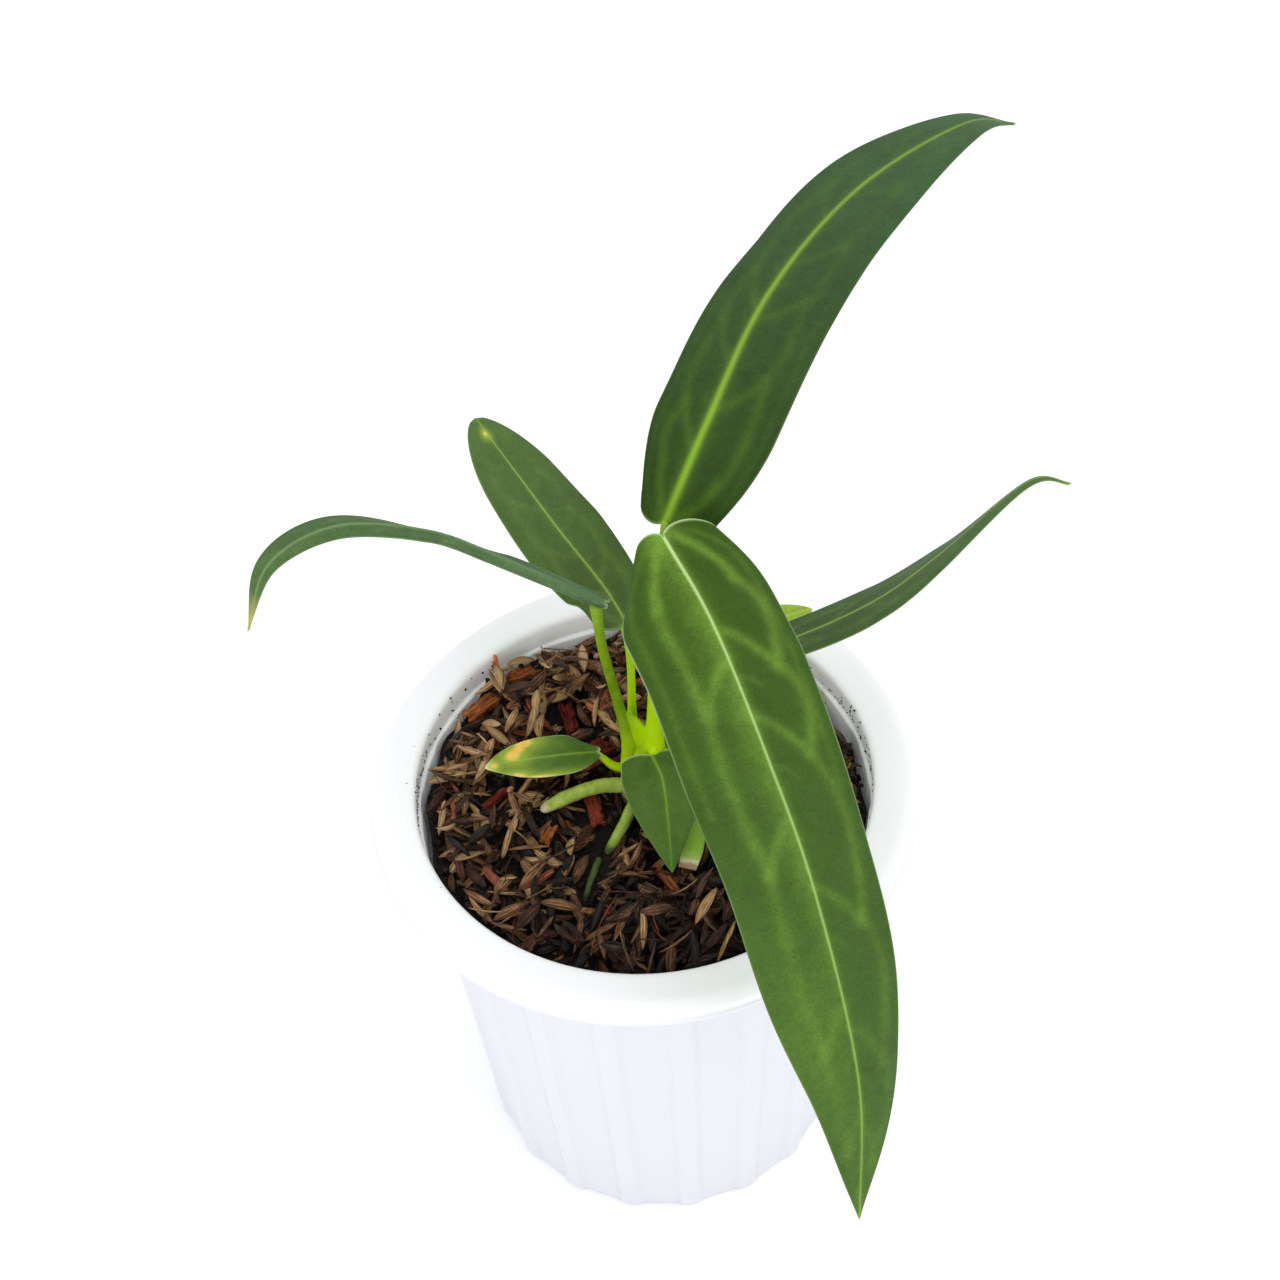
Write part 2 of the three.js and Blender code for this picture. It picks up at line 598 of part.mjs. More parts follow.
function crownBody(grow = 0) {
  const outline = CROWN_OUTLINE.map(([radius, height]) => {
    const wide = radius > 0 ? radius + grow : 0;
    return new THREE.Vector2(wide, height - grow);
  });
  return new THREE.LatheGeometry(outline, 16).rotateX(Math.PI / 2).translate(...CROWN_CENTRE, 0);
}

const COLOURS = {
  pot: 0xf4f6fa, mix: 0x241a14, husks: 0x6b4a2e, stem: 0x7c7a4a, crown: 0x9ac02a, petiole: 0x8fbf3a,
  root: 0x9fb35c, thinRoot: 0x4d5a30, stub: 0x9fb648,
};
const BLADE_COLOURS = {
  back_right: 0x2f5a2a, front: 0x4a8232, left: 0x47683f, back_left: 0x3f6a35, right: 0x3c6336,
  small_left: 0x4a7d30, small_front: 0x3f7a32, small_right: 0x9dc04a,
};

const plant = new THREE.Group();

function add(name, body, colour, roughness) {
  const material = new THREE.MeshStandardMaterial({ color: colour, roughness, metalness: 0 });
  const mesh = new THREE.Mesh(geometryOf(body), material);
  mesh.name = name;
  plant.add(mesh);
}

const petioles = Object.values(LEAVES).map((leaf) => ({ steps: 9, ...leaf.petiole }));
const without = (body, holes) => holes.reduce((rest, hole) => rest.subtract(hole), body);
const wide = (shape) => solid(stalk(shape, GAP));
const petioleHoles = petioles.map(wide);
const rootHoles = Object.values(ROOTS).map(wide);
const stemHole = wide(STEM);
const crownHole = solid(crownBody(GAP));
const stubHole = solid(stub(GAP));
const inMix = [stemHole, crownHole, ...rootHoles, ...CHIPS.map((piece) => chip(piece, GAP))];

add('pot', pot(), COLOURS.pot, 0.35);
add('potting_mix', without(mixBody(), inMix), COLOURS.mix, 0.95);
add('husk_mulch', without(mulchBody(), [...inMix, ...petioleHoles]), COLOURS.husks, 0.8);
CHIPS.forEach((piece, k) => add(`bark_chip_${k + 1}`, chip(piece), piece.colour, 0.85));
add('stem', without(solid(stalk(STEM)), [...rootHoles, ...petioleHoles, stubHole]), COLOURS.stem, 0.6);
const inCrown = [stemHole, ...petioleHoles, ...rootHoles, stubHole];
add('crown', without(solid(crownBody()), inCrown), COLOURS.crown, 0.45);
for (const [name, root] of Object.entries(ROOTS)) {
  add(name, solid(stalk(root)), name === 'root_thin' ? COLOURS.thinRoot : COLOURS.root, 0.6);
}
Object.entries(LEAVES).forEach(([name, leaf], k) => {
  const petiole = solid(stalk(petioles[k])).subtract(solid(blade(leaf, GAP)));
  add(`petiole_${name}`, petiole, COLOURS.petiole, 0.45);
  add(`blade_${name}`, solid(blade(leaf)), BLADE_COLOURS[name], 0.5);
});
add('leaf_stub', solid(stub()), COLOURS.stub, 0.55);

export default plant;
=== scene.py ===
import json
import math

import bpy
import numpy as np
from mathutils import Matrix, Vector


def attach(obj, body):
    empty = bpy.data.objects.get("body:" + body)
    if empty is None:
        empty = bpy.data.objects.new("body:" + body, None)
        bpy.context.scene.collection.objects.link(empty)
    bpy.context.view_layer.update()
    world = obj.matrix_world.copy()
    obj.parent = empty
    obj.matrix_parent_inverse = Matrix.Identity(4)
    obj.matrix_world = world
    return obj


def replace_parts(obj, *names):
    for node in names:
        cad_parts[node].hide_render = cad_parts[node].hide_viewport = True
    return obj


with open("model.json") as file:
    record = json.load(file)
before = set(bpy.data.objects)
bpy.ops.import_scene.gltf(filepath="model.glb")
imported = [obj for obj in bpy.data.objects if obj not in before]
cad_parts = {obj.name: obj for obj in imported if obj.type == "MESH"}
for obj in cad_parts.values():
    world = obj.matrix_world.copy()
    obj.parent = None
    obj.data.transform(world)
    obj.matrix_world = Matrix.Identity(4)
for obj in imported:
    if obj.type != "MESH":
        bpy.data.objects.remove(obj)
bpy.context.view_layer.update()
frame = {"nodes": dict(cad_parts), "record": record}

SLOTS = {row["node"]: row["material_slot"] for row in frame["record"]["subparts"]}
MM = 0.001
CURVE_STEPS = 400
BLADE_LINE_STEPS = 600

# Camera: where it stands round the pot's rim, and where the rim's middle falls in the picture.
PICTURE = 1280
SENSOR_MM = 36.0
LENS_MM = 95.0
CAMERA_ELEVATION = math.radians(52.92)
CAMERA_DISTANCE = 801.2
CAMERA_ROLL = math.radians(4.36)
RIM_MIDDLE_HEIGHT = 123.9
RIM_MIDDLE_PIXEL = (643.6, 780.0)
NEAREST_SEEN = 10.0

# Lamps: place and size, and power in watts. They shine on LAMP_AIM in a white room.
LAMPS = [("key", (500, -350, 1200), 1000, 3.2), ("fill", (-350, -1150, 800), 900, 3.8)]
LAMP_AIM = (0, 0, 130)
ROOM_WHITE = "fcfdff"
ROOM_STRENGTH = 1.12
FLOOR_REACH = 6000

# Sizes of the spots in the finishes. The grain of the mould, the pile of the leaves and their cells
# are finer in the real ones, and drawn as coarse as they need to be to show.
SINK_MARK = 45.5
MOULD_GRAIN = 1.11
PLASTIC_SCATTER = 1.5
PEAT_CRUMB = 2.38
LITTER_PATCH = 3.33
LEAF_CLOUD = 7.69
LEAF_PILE = 1.613
LEAF_NET = 1.43
LEAF_CELL = 0.385
STALK_SPOT = 2.38
CORK_FLECK = 2.38
ROOT_FLECK = 1.613
DRIED_FLECK = 2.0

# Pot, repeated from the solids.
POT_HEIGHT = 124.0
POT_BASE_RADIUS = 44.8
POT_TOP_RADIUS = 55.0
POT_WALL = 1.2
POT_FLOOR = 2.0
RIM_RADIUS = 65.3
RIM_DROP = 6.3
RIM_WALL = 1.6
RIM_CREST_RADIUS = 60.0
STEP_RADIUS = 54.4
STEP_DROP = 7.4
FLUTES = 18
FLUTE_DEPTH = 1.2
FIRST_RIDGE_DEGREES = 5.0
DRAIN_HOLES = 6
DRAIN_RADIUS = 4.0
DRAIN_CIRCLE = 27.0

# Finer forms of the pot. From the middle of a ridge to the middle of a flute, FLUTE_PLACES are the
# shares of a pitch that hold points, closest where the ridge's flank turns; RIDGE_TOP and
# RIDGE_FLANK are the half width of the ridge and the width of its flank in the same measure.
# LARGEST_ROUNDING is the share of an edge that the rounding of its corner may take.
# RIM_PAINTED_LIGHT_SHARE is how far the rim's crest is on the way from the outer wall's white to the inside's
# paler white, which is painted light over the shade inside the rim.
FOOT_INSET = 1.2
FOOT_RISE = 1.6
WALL_TOP_DROP = 1.8
NECK_WALL = 2.0
RIM_PLATE = 2.1
BEAD_DEPTH = 0.55
BEAD_HEIGHT = 1.1
EDGE_ROUNDING = 0.8
LARGEST_ROUNDING = 0.45
ROUNDING_STEPS = 5
FLUTE_PLACES = (0, 0.05, 0.09, 0.12, 0.15, 0.18, 0.21, 0.24, 0.28, 0.33, 0.38, 0.44, 0.5)
RIDGE_TOP = 0.1
RIDGE_FLANK = 0.13
RIM_PAINTED_LIGHT_SHARE = 0.5
DRAIN_LAND = 4.0
DRAIN_SIDES = 48
DRILL_OVER = 3.0

# Top layer of the mix: the bed's height and grain, how it heaps up towards the back left, how far
# its pieces keep from the wall, and how many of each kind are tried; those that find no room are
# left out.
BED_HEIGHT = 111.9
BED_LOW = 111.2
BED_BUMP = 0.9
BED_CRUMB = 0.28
BED_GAP = 0.5
BED_RINGS = 74
BED_SIDES = 200
HEAP_RISE = 4.0
HEAP_DEGREES = 145.0
WALL_CLEARANCE = 0.5
HUSKS = 1200
SHARDS = 450
SPLINTERS = 300
CRUMBS = 900
STRAWS = 90
FIBRES = 70
SEED = 7

# Specks on the wall above the mix: the two sides in degrees where they stick and the share of each,
# their spread round it and their reach up it, sizes, how much coarser the few coarse ones are, their
# shades, the share that lies on top of the rim and how small those are.
WALL_SPECKS = 150
WALL_SPECK_SIDES = (172, 10)
WALL_SPECK_SHARES = (0.6, 0.4)
WALL_SPECK_SPREAD = 18
WALL_SPECK_REACH = 6.0
WALL_SPECK_SIZE = (0.25, 0.6)
WALL_SPECK_COARSER = 0.5
WALL_SPECK_SHADE = (0, 0.7)
RIM_SPECK_SHARE = 0.05
RIM_SPECK_SMALLER = 0.6

# Litter by kind: smallest and largest length, width and thickness (a husk's is a share of its
# width), then how deep a piece sinks into what is below it, as a share of its thickness, and the
# spread of its tilt along and across.
HUSK_SIZE = ((6.5, 11), (1.7, 2.9), (0.32, 0.55))
SHARD_SIZE = ((2.6, 6.5), (0.9, 2.2), (0.3, 0.6))
SPLINTER_SIZE = ((3, 11), (0.8, 3.0), (0.5, 1.2))
CRUMB_SIZE = (0.9, 2.6)
STRAW_SIZE = ((4, 11), (0.4, 1.1))
STRAW_THICKNESS = 0.4
FIBRE_LENGTH = (7, 18)
FIBRE_RADII = [0.13, 0.16, 0.15, 0.08]
FIBRE_THICKNESS = 0.3
LYING = {"crumb": (0.4, (0, 0)), "husk": (0.4, (0.2, 0.45)), "shown husk": (0.25, (0, 0)),
         "shard": (0.3, (0.3, 0.5)), "splinter": (0.4, (0.2, 0.3)), "straw": (0.2, (0.15, 0.2)),
         "fibre": (0.2, (0, 0))}

# Husk's shape: how far its ends turn up or down and how deep it is hollowed, the width left at its
# ends, the thickness of its rim and the width of its hollow as shares, how far it bows sideways,
# and point by point round it how much paler its hollow is, and its rim's painted highlight.
HUSK_BEND = (-0.5, 0.9)
HUSK_CUP = (0.2, 0.75)
HUSK_END = 0.06
HUSK_RIM = 0.12
HUSK_HOLLOW = 0.8
HUSK_BOW = 0.07
HUSK_PALER_AND_RIM_HIGHLIGHT = [0.16, 0, 0, 0, 0, 0.16, 0.14, 0.14]
SHOWN_HUSK_DEPTH = 0.4

# Litter as it lies: steepest slope along a piece and across it, and how far behind a thing that the
# photograph shows a piece has to be not to hide it. Then how far it keeps from the middle line of
# the crown, the stem, the cut leaf and the low leaves.
MAX_SLOPE = 0.75
MAX_LEAN = 1.1
HIDING_DEPTH = 0.3
CROWN_ROOM = 6.6
STEM_ROOM = 4.8
CUT_LEAF_ROOM = 1.6
LOW_LEAF_ROOM = 3.4

# Litter's finish: distance between the ridges of a husk, how much slower the streaks change along
# a piece than across it, how far apart two shades lie in their pattern, and colours by shade.
RIDGE_PITCH = 0.75
STREAK_STRETCH = 0.12
STREAK_CHANGE = 40.0
# The peat and the crumbs are dark mix made near black: partly painted shade for the gaps between the husks.
PEAT_STOPS = [(0.3, "0d0a08"), (0.55, "1d1410"), (0.75, "3a281c")]
HUSK_STOPS = [(0.0, "0b0705"), (0.15, "1e120b"), (0.33, "402718"), (0.52, "65432b"), (0.72, "8a6342"),
              (0.88, "a67f56"), (1.0, "c09c70")]
SPLINTER_STOPS = [(0.0, "0e0806"), (0.3, "2e1710"), (0.55, "5e2e1c"), (0.8, "90482a"), (1.0, "bf7440")]
CRUMB_STOPS = [(0.0, "080605"), (0.5, "15100d"), (0.8, "2b1f17"), (1.0, "4a3627")]
STRAW_STOPS = [(0.0, "2c1d12"), (0.35, "6a4c2e"), (0.65, "a8824f"), (0.85, "d2b280"), (1.0, "ecd9b6")]
ORANGE_STOPS = [(0.0, "150a05"), (0.25, "42200c"), (0.5, "86441a"), (0.75, "b06a2e"), (1.0, "cf9a62")]
RED_STOPS = [(0.0, "120706"), (0.25, "3c120d"), (0.5, "74261a"), (0.75, "93402c"), (1.0, "b87058")]

# Meshes of litter: name, heap, slot, finish, colours, width of a streak, roughness, strength of the
# ridges, and whether its faces are shaded smooth.
LITTER = [
    ("rice_husks", "husk", "rice_husk", "dry_rice_husk", HUSK_STOPS, 0.4, 0.55, 0.13, True),
    ("dark_rice_husks", "dark husk", "rice_husk", "wet_rice_husk", HUSK_STOPS, 0.4, 0.36, 0.1, True),
    ("bark_splinters", "splinter", "rice_husk", "split_pine_bark", SPLINTER_STOPS, 0.4, 0.55, 0.0, False),
    ("mix_crumbs", "crumb", "potting_mix", "near_black_crumbs_gap_shade", CRUMB_STOPS, 0.6, 0.7, 0.0, False),
    ("straw_slivers", "straw", "rice_husk", "bleached_straw", STRAW_STOPS, 0.3, 0.6, 0.0, True),
]

# Shades of husks: middle and spread of the dark, the brown and the bleached ones, the share of
# each, how much paler they are towards the heap, and what the dry and the wet mesh add. Then the
# middle and spread of the splinters' shades, and the darkest and palest of the others.
HUSK_SHADES = ((0.06, 0.05), (0.47, 0.1), (0.75, 0.12))
HUSK_SHARES = (0.42, 0.33, 0.25)
HEAP_PALER = 0.33
DRY_HUSK_PALER = 0.07
WET_HUSK_DARKER = 0.1
SPLINTER_SHADE = (0.32, 0.2)
SPLINTER_PALER = 0.25
STRAW_SHADE = (0, 0.75)
STRAW_PALER = 0.1
CRUMB_SHADE = (0, 0.9)
FIBRE_SHADE = (0, 0.5)
CHIP_SHADE = (0.42, 0.56)

# Husks that the photograph shows one by one: place, direction in degrees, length, width and shade.
SHOWN_HUSKS = [
    ((11.6, -40.3), 58, 10.5, 3.6, 0.8),
    ((-27.5, -20.5), 38, 11.0, 3.0, 0.66),
    ((-34.5, -24.0), 60, 9.5, 3.0, 0.6),
    ((-31.0, 22.0), 70, 9.5, 2.8, 0.78),
    ((-24.0, 20.5), 80, 9.0, 2.4, 0.8),
    ((-40.5, 14.0), -32, 9.0, 2.4, 0.86),
    ((-20.5, -35.0), 30, 9.5, 3.2, 0.7),
    ((-12.5, -31.5), -20, 8.5, 3.0, 0.72),
    ((-1.5, -31.0), -62, 10.0, 2.6, 0.55),
    ((-33.0, -11.5), 66, 10.0, 1.6, 0.74),
]

# Leaves, repeated from the solids. rib: midrib from the notch to the tip. half: half the greatest
# width, at widest (share of the length); base: share of it at the notch; belly and taper: the way
# to the tip; lobe: reach of the base lobes; skew and lean: how much wider the u = 1 side is, along
# the leaf and at its base; face: where the upper face looks; fold and curl: rise of the halves in
# degrees; wave: height of the waved edge; roll: radius of the rolled lobe. veins: where the side
# veins leave the midrib on the u = -1 and u = 1 side, as shares of the length; gather and bulge:
# where the gathering vein runs, as a share of the half width, and how far it bows out between two
# side veins. path, radii and flare: the stalk from the crown up, and how much its foot swells.
# rows and columns: points of the mesh along and across. glow: width of the paler band beside the
# midrib; rib_mm: width of the midrib at the notch and at the tip; pale_low: how pale the front
# leaf is where it turns down.
LEAVES = {
    "back_right": dict(
        rib=[(9.5, 19.5, 194), (20, 31, 212), (36, 57, 224.5), (58.5, 82, 231), (84.5, 98.5, 233.5),
             (98.5, 106, 226)],
        half=14.8, base=0.56, widest=0.19, belly=2, taper=1.1, lobe=2.2, lean=-0.14,
        skew=[-0.03, -0.11, -0.17, -0.1, -0.06],
        face=[(-0.3, -0.8, 1), (-0.5, -0.4, 1), (-0.3, 0.05, 1)],
        fold=[-8, 8], curl=[-5, -12], wave=0.5,
        veins=([0.2, 0.36, 0.48, 0.64, 0.8], [0.13, 0.28, 0.38, 0.58, 0.74]),
        path=[(3.2, 12.2, 119), (4.2, 13.4, 140), (6.4, 16.2, 170), (8.8, 18.6, 192), (9.1, 19.1, 193.2)],
        radii=[2, 1.7, 1.5, 1.3, 0.7], flare=2.6, rows=240, columns=58,
        glow=(1.6, 1.6), rib_mm=(0.9, 0.3)),
    "front": dict(
        rib=[(8.5, 4.5, 205), (17.5, -15.5, 198.5), (27, -45.5, 187), (34.5, -70.5, 172),
             (41, -97, 140.5), (39.5, -116, 113)],
        half=18.6, base=0.6, widest=0.11, belly=2.4, taper=1.12, lobe=3.2, lean=0.35, skew=[-0.03, -0.03],
        face=[(0.1, -0.5, 1), (0.7, -1.1, 1), (0.6, -0.7, 1)],
        fold=[-26, -5, -4, -3, -1, 0], curl=[-8, -16], wave=0.8, roll=5,
        veins=([0.2, 0.43, 0.69, 0.84], [0.155, 0.285, 0.525, 0.72, 0.86]),
        path=[(2.5, 7, 119), (4, 8.2, 140), (6.4, 8.8, 175), (8, 6.5, 199), (8.5, 4.4, 203.9)],
        radii=[2.3, 1.9, 1.6, 1.6, 1.7], flare=3.0, rows=270, columns=66,
        gather=(0.48, 0.57), bulge=(0.04, 0.2), glow=(4.4, 1.2), rib_mm=(0.28, 0.2), pale_low=0.2),
    "left": dict(
        rib=[(-6.5, 12.5, 176), (-28, 20, 184.5), (-45, 33.5, 180.5), (-66.5, 38, 179.5),
             (-82.5, 31.5, 175.5), (-89.5, 24.5, 160)],
        half=4, base=0.56, widest=0.58, belly=1.5, taper=1.1, lobe=2, lean=0,
        skew=[-0.1, -0.33, -0.2, -0.22, -0.35],
        face=[(0, -0.5, 1), (0.8, 0.1, 1), (-0.5, -0.5, 1)],
        fold=[-40, -10], curl=[-20, 0], wave=0,
        veins=([0.22, 0.4, 0.6, 0.78], [0.15, 0.32, 0.5, 0.7]),
        path=[(-2.4, 7.6, 119), (-3.1, 9.2, 130), (-4.7, 11, 141), (-7.1, 12.6, 158),
              (-7.9, 12.9, 173.9)],
        radii=[2, 1.4, 1.2, 1.15, 1.3], flare=1.0, rows=180, columns=36),
    "back_left": dict(
        rib=[(-2, 22.5, 157.5), (-6.5, 32.5, 158.5), (-15.5, 41, 169), (-24.5, 56, 173),
             (-33.5, 70, 178.5)],
        half=11.25, base=0.65, widest=0.4, belly=1.54, taper=0.56, lobe=3, lean=0, skew=[0.02, 0.02],
        face=[(0.45, -0.6, 1), (0.55, -0.5, 1), (0.55, -0.2, 1)],
        fold=[7, 6], curl=[-9, -9], wave=0,
        veins=([0.2, 0.42, 0.64, 0.82], [0.14, 0.33, 0.54, 0.74]),
        path=[(-1.6, 12.4, 119), (-1.5, 15.5, 130), (-1, 19.4, 142), (-1.2, 21.6, 150),
              (-2, 22.3, 157)],
        radii=[1.3, 1.05, 0.95, 0.95, 1], flare=1.6, rows=130, columns=48),
    "right": dict(
        rib=[(19.5, 9, 156.5), (36.5, 7.5, 163), (56, 9.5, 172), (71, 13, 182.5),
             (90.5, 17.5, 199.5), (100.5, 17.5, 198)],
        half=8.6, base=0.75, widest=0.38, belly=0.7, taper=1, lobe=2, lean=0,
        skew=[0, 0, 0.02, 0.02, 0],
        face=[(0, 0.25, 1), (0.1, 0.4, 1), (0.35, 0.4, 1)],
        fold=[5, -7], curl=[-1, -17], wave=0,
        veins=([0.2, 0.4, 0.6, 0.78], [0.13, 0.3, 0.5, 0.7]),
        path=[(6.5, 9, 119), (9, 9.3, 132), (14, 9.4, 147), (19.5, 9, 156)],
        radii=[1.6, 1.4, 1.3, 1.3], flare=1.4, rows=180, columns=44),
    "small_left": dict(
        rib=[(-11, 10.3, 122.5), (-18.5, 8.4, 125), (-31, 7.9, 124.5), (-37.5, 6.6, 124.5)],
        half=5.25, base=0.35, widest=0.3, belly=1.5, taper=0.8, lobe=1.5, lean=0, skew=[0, 0],
        face=[(-0.1, -0.05, 1), (0.15, -0.3, 1), (-0.2, -0.25, 1)],
        fold=[5, 10], curl=[-10, -7], wave=0,
        veins=([0.25, 0.5, 0.72], [0.18, 0.4, 0.64]),
        path=[(-2.8, 9.2, 116.2), (-6.8, 9.3, 118), (-9.4, 10.1, 120.6), (-11.2, 10.5, 122.3)],
        radii=[1.1, 1, 0.8, 0.5], flare=0.3, rows=90, columns=36),
    "small_front": dict(
        rib=[(2.5, 3.5, 128), (4.5, -5, 129), (5, -16.5, 124.5), (5, -24.5, 119.5)],
        half=9.6, base=0.8, widest=0.25, belly=0.85, taper=0.93, lobe=1.5, lean=0, skew=[0, 0],
        face=[(0.15, -0.2, 1), (0.15, -0.3, 1), (0.2, -0.5, 1)],
        fold=[2, -6], curl=[-11, -15], wave=0,
        veins=([0.25, 0.5, 0.72], [0.18, 0.4, 0.64]),
        path=[(0.4, 3.4, 119), (0.9, 2.6, 122.5), (1.8, 2.4, 125.5), (2.5, 3.2, 127.8)],
        radii=[1.3, 1.2, 1.1, 1.1], flare=0.8, rows=100, columns=48),
    "small_right": dict(
        rib=[(17, 18, 142), (25, 22, 147), (34, 25, 149), (43, 27, 149.8)],
        half=5, base=0.6, widest=0.4, belly=1.5, taper=0.8, lobe=1.2, lean=0, skew=[0, 0],
        face=[(-0.1, -0.1, 1), (-0.1, 0, 1), (0, 0.1, 1)],
        fold=[8, 8], curl=[-5, -5], wave=0,
        veins=([0.25, 0.5, 0.72], [0.18, 0.4, 0.64]),
        path=[(6.8, 12.6, 119), (9, 14.6, 128), (13, 16.6, 136.5), (17, 18, 141.8)],
        radii=[1.1, 1, 0.9, 0.9], flare=0.8, rows=80, columns=32),
}

# Leaves' colours: name of the finish, colour at the notch and at the tip, of the veins, of the
# midrib at the notch and at the tip, of the margin and of the under face, how strongly the veins and
# the pale skin by the midrib show, and for the old leaves the colour of the patches and of the tip.
LEAF_COLOURS = {
    "back_right": dict(
        name="velvet_leaf_deep", near="233a06", far="3f5a3a", vein="5f8426", ribs=("7aa228", "8fb04a"),
        margin="7f9c5a", under="7f9a5a", veins=0.25, glow=0.3),
    "front": dict(
        name="velvet_leaf_green", near="324e0c", far="405c28", vein="7aa23a", ribs=("b2ce88", "8cb04a"),
        margin="c6da9e", under="8aa562", veins=0.42, glow=0.62),
    "left": dict(
        name="velvet_leaf_grey", near="2e4a34", far="4a6436", vein="8aa667", ribs=("4c6c48", "7f9c62"),
        margin="93ab7c", under="7d9860", veins=0.2, glow=0.2, old_tip="b7a35c"),
    "back_left": dict(
        name="velvet_leaf_flat", near="42592a", far="4a6432", vein="7f9c4a", ribs=("8fb04a", "9dbb5a"),
        margin="7f9c60", under="86a35c", veins=0.2, glow=0.25, patch="cdbb4c"),
    "right": dict(
        name="velvet_leaf_dark", near="304918", far="486238", vein="7b9a4c", ribs=("8fb04e", "97b857"),
        margin="7f9c5a", under="86a35c", veins=0.2, glow=0.25),
    "small_left": dict(
        name="spotted_leaf", near="405c20", far="48662a", vein="6f9434", ribs=("6f9434", "8fae54"),
        margin="cbd79a", under="86a35c", veins=0.15, glow=0.15, old_tip="e9ddae"),
    "small_front": dict(
        name="young_leaf", near="445e24", far="4c6c2a", vein="6c9434", ribs=("7ca43c", "6c9034"),
        margin="b9d088", under="86a35c", veins=0.14, glow=0.2),
    "small_right": dict(
        name="yellowing_leaf", near="7c9c34", far="93b03c", vein="b9cf6a", ribs=("b4c860", "c4d67a"),
        margin="c9d88a", under="a3b86a", veins=0.25, glow=0.3),
}

# Blades: place of a base lobe's crest between midrib and edge, thickness and how much thinner the
# edge is, rise of the skin between the veins, depth of a vein's furrow above and height of its ridge
# below, rise of the midrib and of the keel under it, and width of the pale margin. Veins and rises
# are those of a leaf of FULL_HALF_WIDTH, and smaller on a narrower one.
LOBE_CREST = 0.46
BLADE_THICKNESS = 0.5
EDGE_THINNING = 0.22
QUILT_RISE = 0.16
VEIN_FURROW = 0.1
VEIN_RIDGE = 0.12
MIDRIB_RISE = 0.2
KEEL_RISE = 0.8
MARGIN_WIDTH = 0.2
FULL_HALF_WIDTH = 18.0
USUAL_GATHER = (0.54, 0.54)
USUAL_BULGE = (0.08, 0.1)
USUAL_GLOW = (1.2, 1.2)
USUAL_MIDRIB = (0.32, 0.18)

# Veins by kind: width in millimetres and strength. Then where they run, as shares of the length or
# of the half width: how far forward a side vein bows, and how much more near the notch; where the
# gathering vein starts and ends, and the heights and rates of its wander; how far ahead of its side
# vein a weak one starts; how far out the outer vein runs, where it gets there and where it ends.
VEINS = {"basal": (0.9, 1.0), "gathering": (1.0, 0.8), "side": (0.8, 0.85), "weak": (0.45, 0.3),
         "outer": (0.6, 0.3)}
VEIN_FORWARD = (0.055, 0.02)
GATHER_ENDS = (0.1, 0.99)
GATHER_WANDER = ((0.012, 23), (0.008, 61))
WEAK_VEIN_AHEAD = 0.07
OUTER_VEIN = (0.84, 0.06, 0.4)

# Yellow and orange patches of the old leaves: places and reaches as shares along and across.
PATCHES = {
    "small_left": [(0.74, -0.35, 0.08, 0.4), (0.64, -0.85, 0.09, 0.24), (0.69, -0.62, 0.06, 0.3),
                   (0.7, 0.95, 0.08, 0.2), (0.52, 1.0, 0.14, 0.12), (0.92, 0.1, 0.04, 0.5)],
    "back_left": [(0.92, 0.1, 0.012, 0.1)],
}

# Stalks: heights between which their colour changes, how far up the flared foot reaches and how
# fast it fades, the swelling below the blade, and the ribs round a stalk. The colours go with the
# height, and the left stalk is darker.
STALK_LOW = 114
STALK_HIGH = 205
FLARE_LENGTH = 5.5
FLARE_FALL = 1.4
KNUCKLE_LENGTH = 5.0
KNUCKLE_SWELL = 0.1
GROOVE_DEPTH = 0.1
STALK_RIBS = 17.5
STALK_STOPS = [(0.0, "b2d100"), (0.12, "b2d100"), (0.22, "acd400"), (0.4, "98c00c"), (0.7, "86a828"),
               (1.0, "7b9c3c")]
LEFT_STALK_STOPS = [(0.0, "aed000"), (0.1, "a8cc00"), (0.15, "94b600"), (0.21, "749200"), (0.3, "5d7d00"),
                    (0.38, "628002"), (0.5, "6b8b0d"), (1.0, "88a83c")]

# Stem, roots, cut leaf and chips, repeated from the solids.
STEM = dict(path=[(-3.4, 2.5, 86), (-2.6, 4, 100), (-1, 6.5, 112), (0.6, 8, 119)],
            radii=[4.2, 5.2, 5.2, 4.6], scar_pitch=4.5, scar_height=0.35)
ROOTS = {
    "root_left": dict(path=[(-3, 4.6, 116.2), (-10.2, 3.8, 117.8), (-16.5, 2.1, 117.8), (-21.9, 0, 117.2),
                            (-25.1, -1.4, 116.7)], radii=[1.9, 1.8, 1.7, 1.75, 1.2]),
    "root_front": dict(path=[(-1.8, 2.4, 113.2), (-3.2, -1.2, 115.2), (-5.2, -5.8, 115.5),
                             (-7.6, -9.6, 114.5), (-10.2, -12.6, 112.4)], radii=[1.6, 1.5, 1.4, 1.3, 1]),
    "root_thin": dict(path=[(-12, -14.6, 113.4), (-13.2, -18.6, 114.4), (-14.8, -23, 114.2),
                            (-16.2, -26.6, 112.8)], radii=[0.8, 0.9, 0.8, 0.6]),
}
STUB = dict(path=[(3.4, 3.6, 117.6), (7.2, -2.5, 120.8), (10.4, -10, 120.6), (10.5, -16.3, 118.8),
                  (8.6, -21.7, 116.9)], widths=[1.4, 1.7, 2.6, 2.7, 2.2], thickness=1.0)
CROWN_CENTRE = (1.8, 8.8)
STEM_TOP = (-1.2, 6.3)
CROWN_OUTLINE = [(0, 112.4), (3.5, 112.6), (5.6, 114.4), (6.3, 117.4), (6.2, 120.4), (5.4, 124),
                 (4, 127), (2.2, 128.6), (0, 129)]
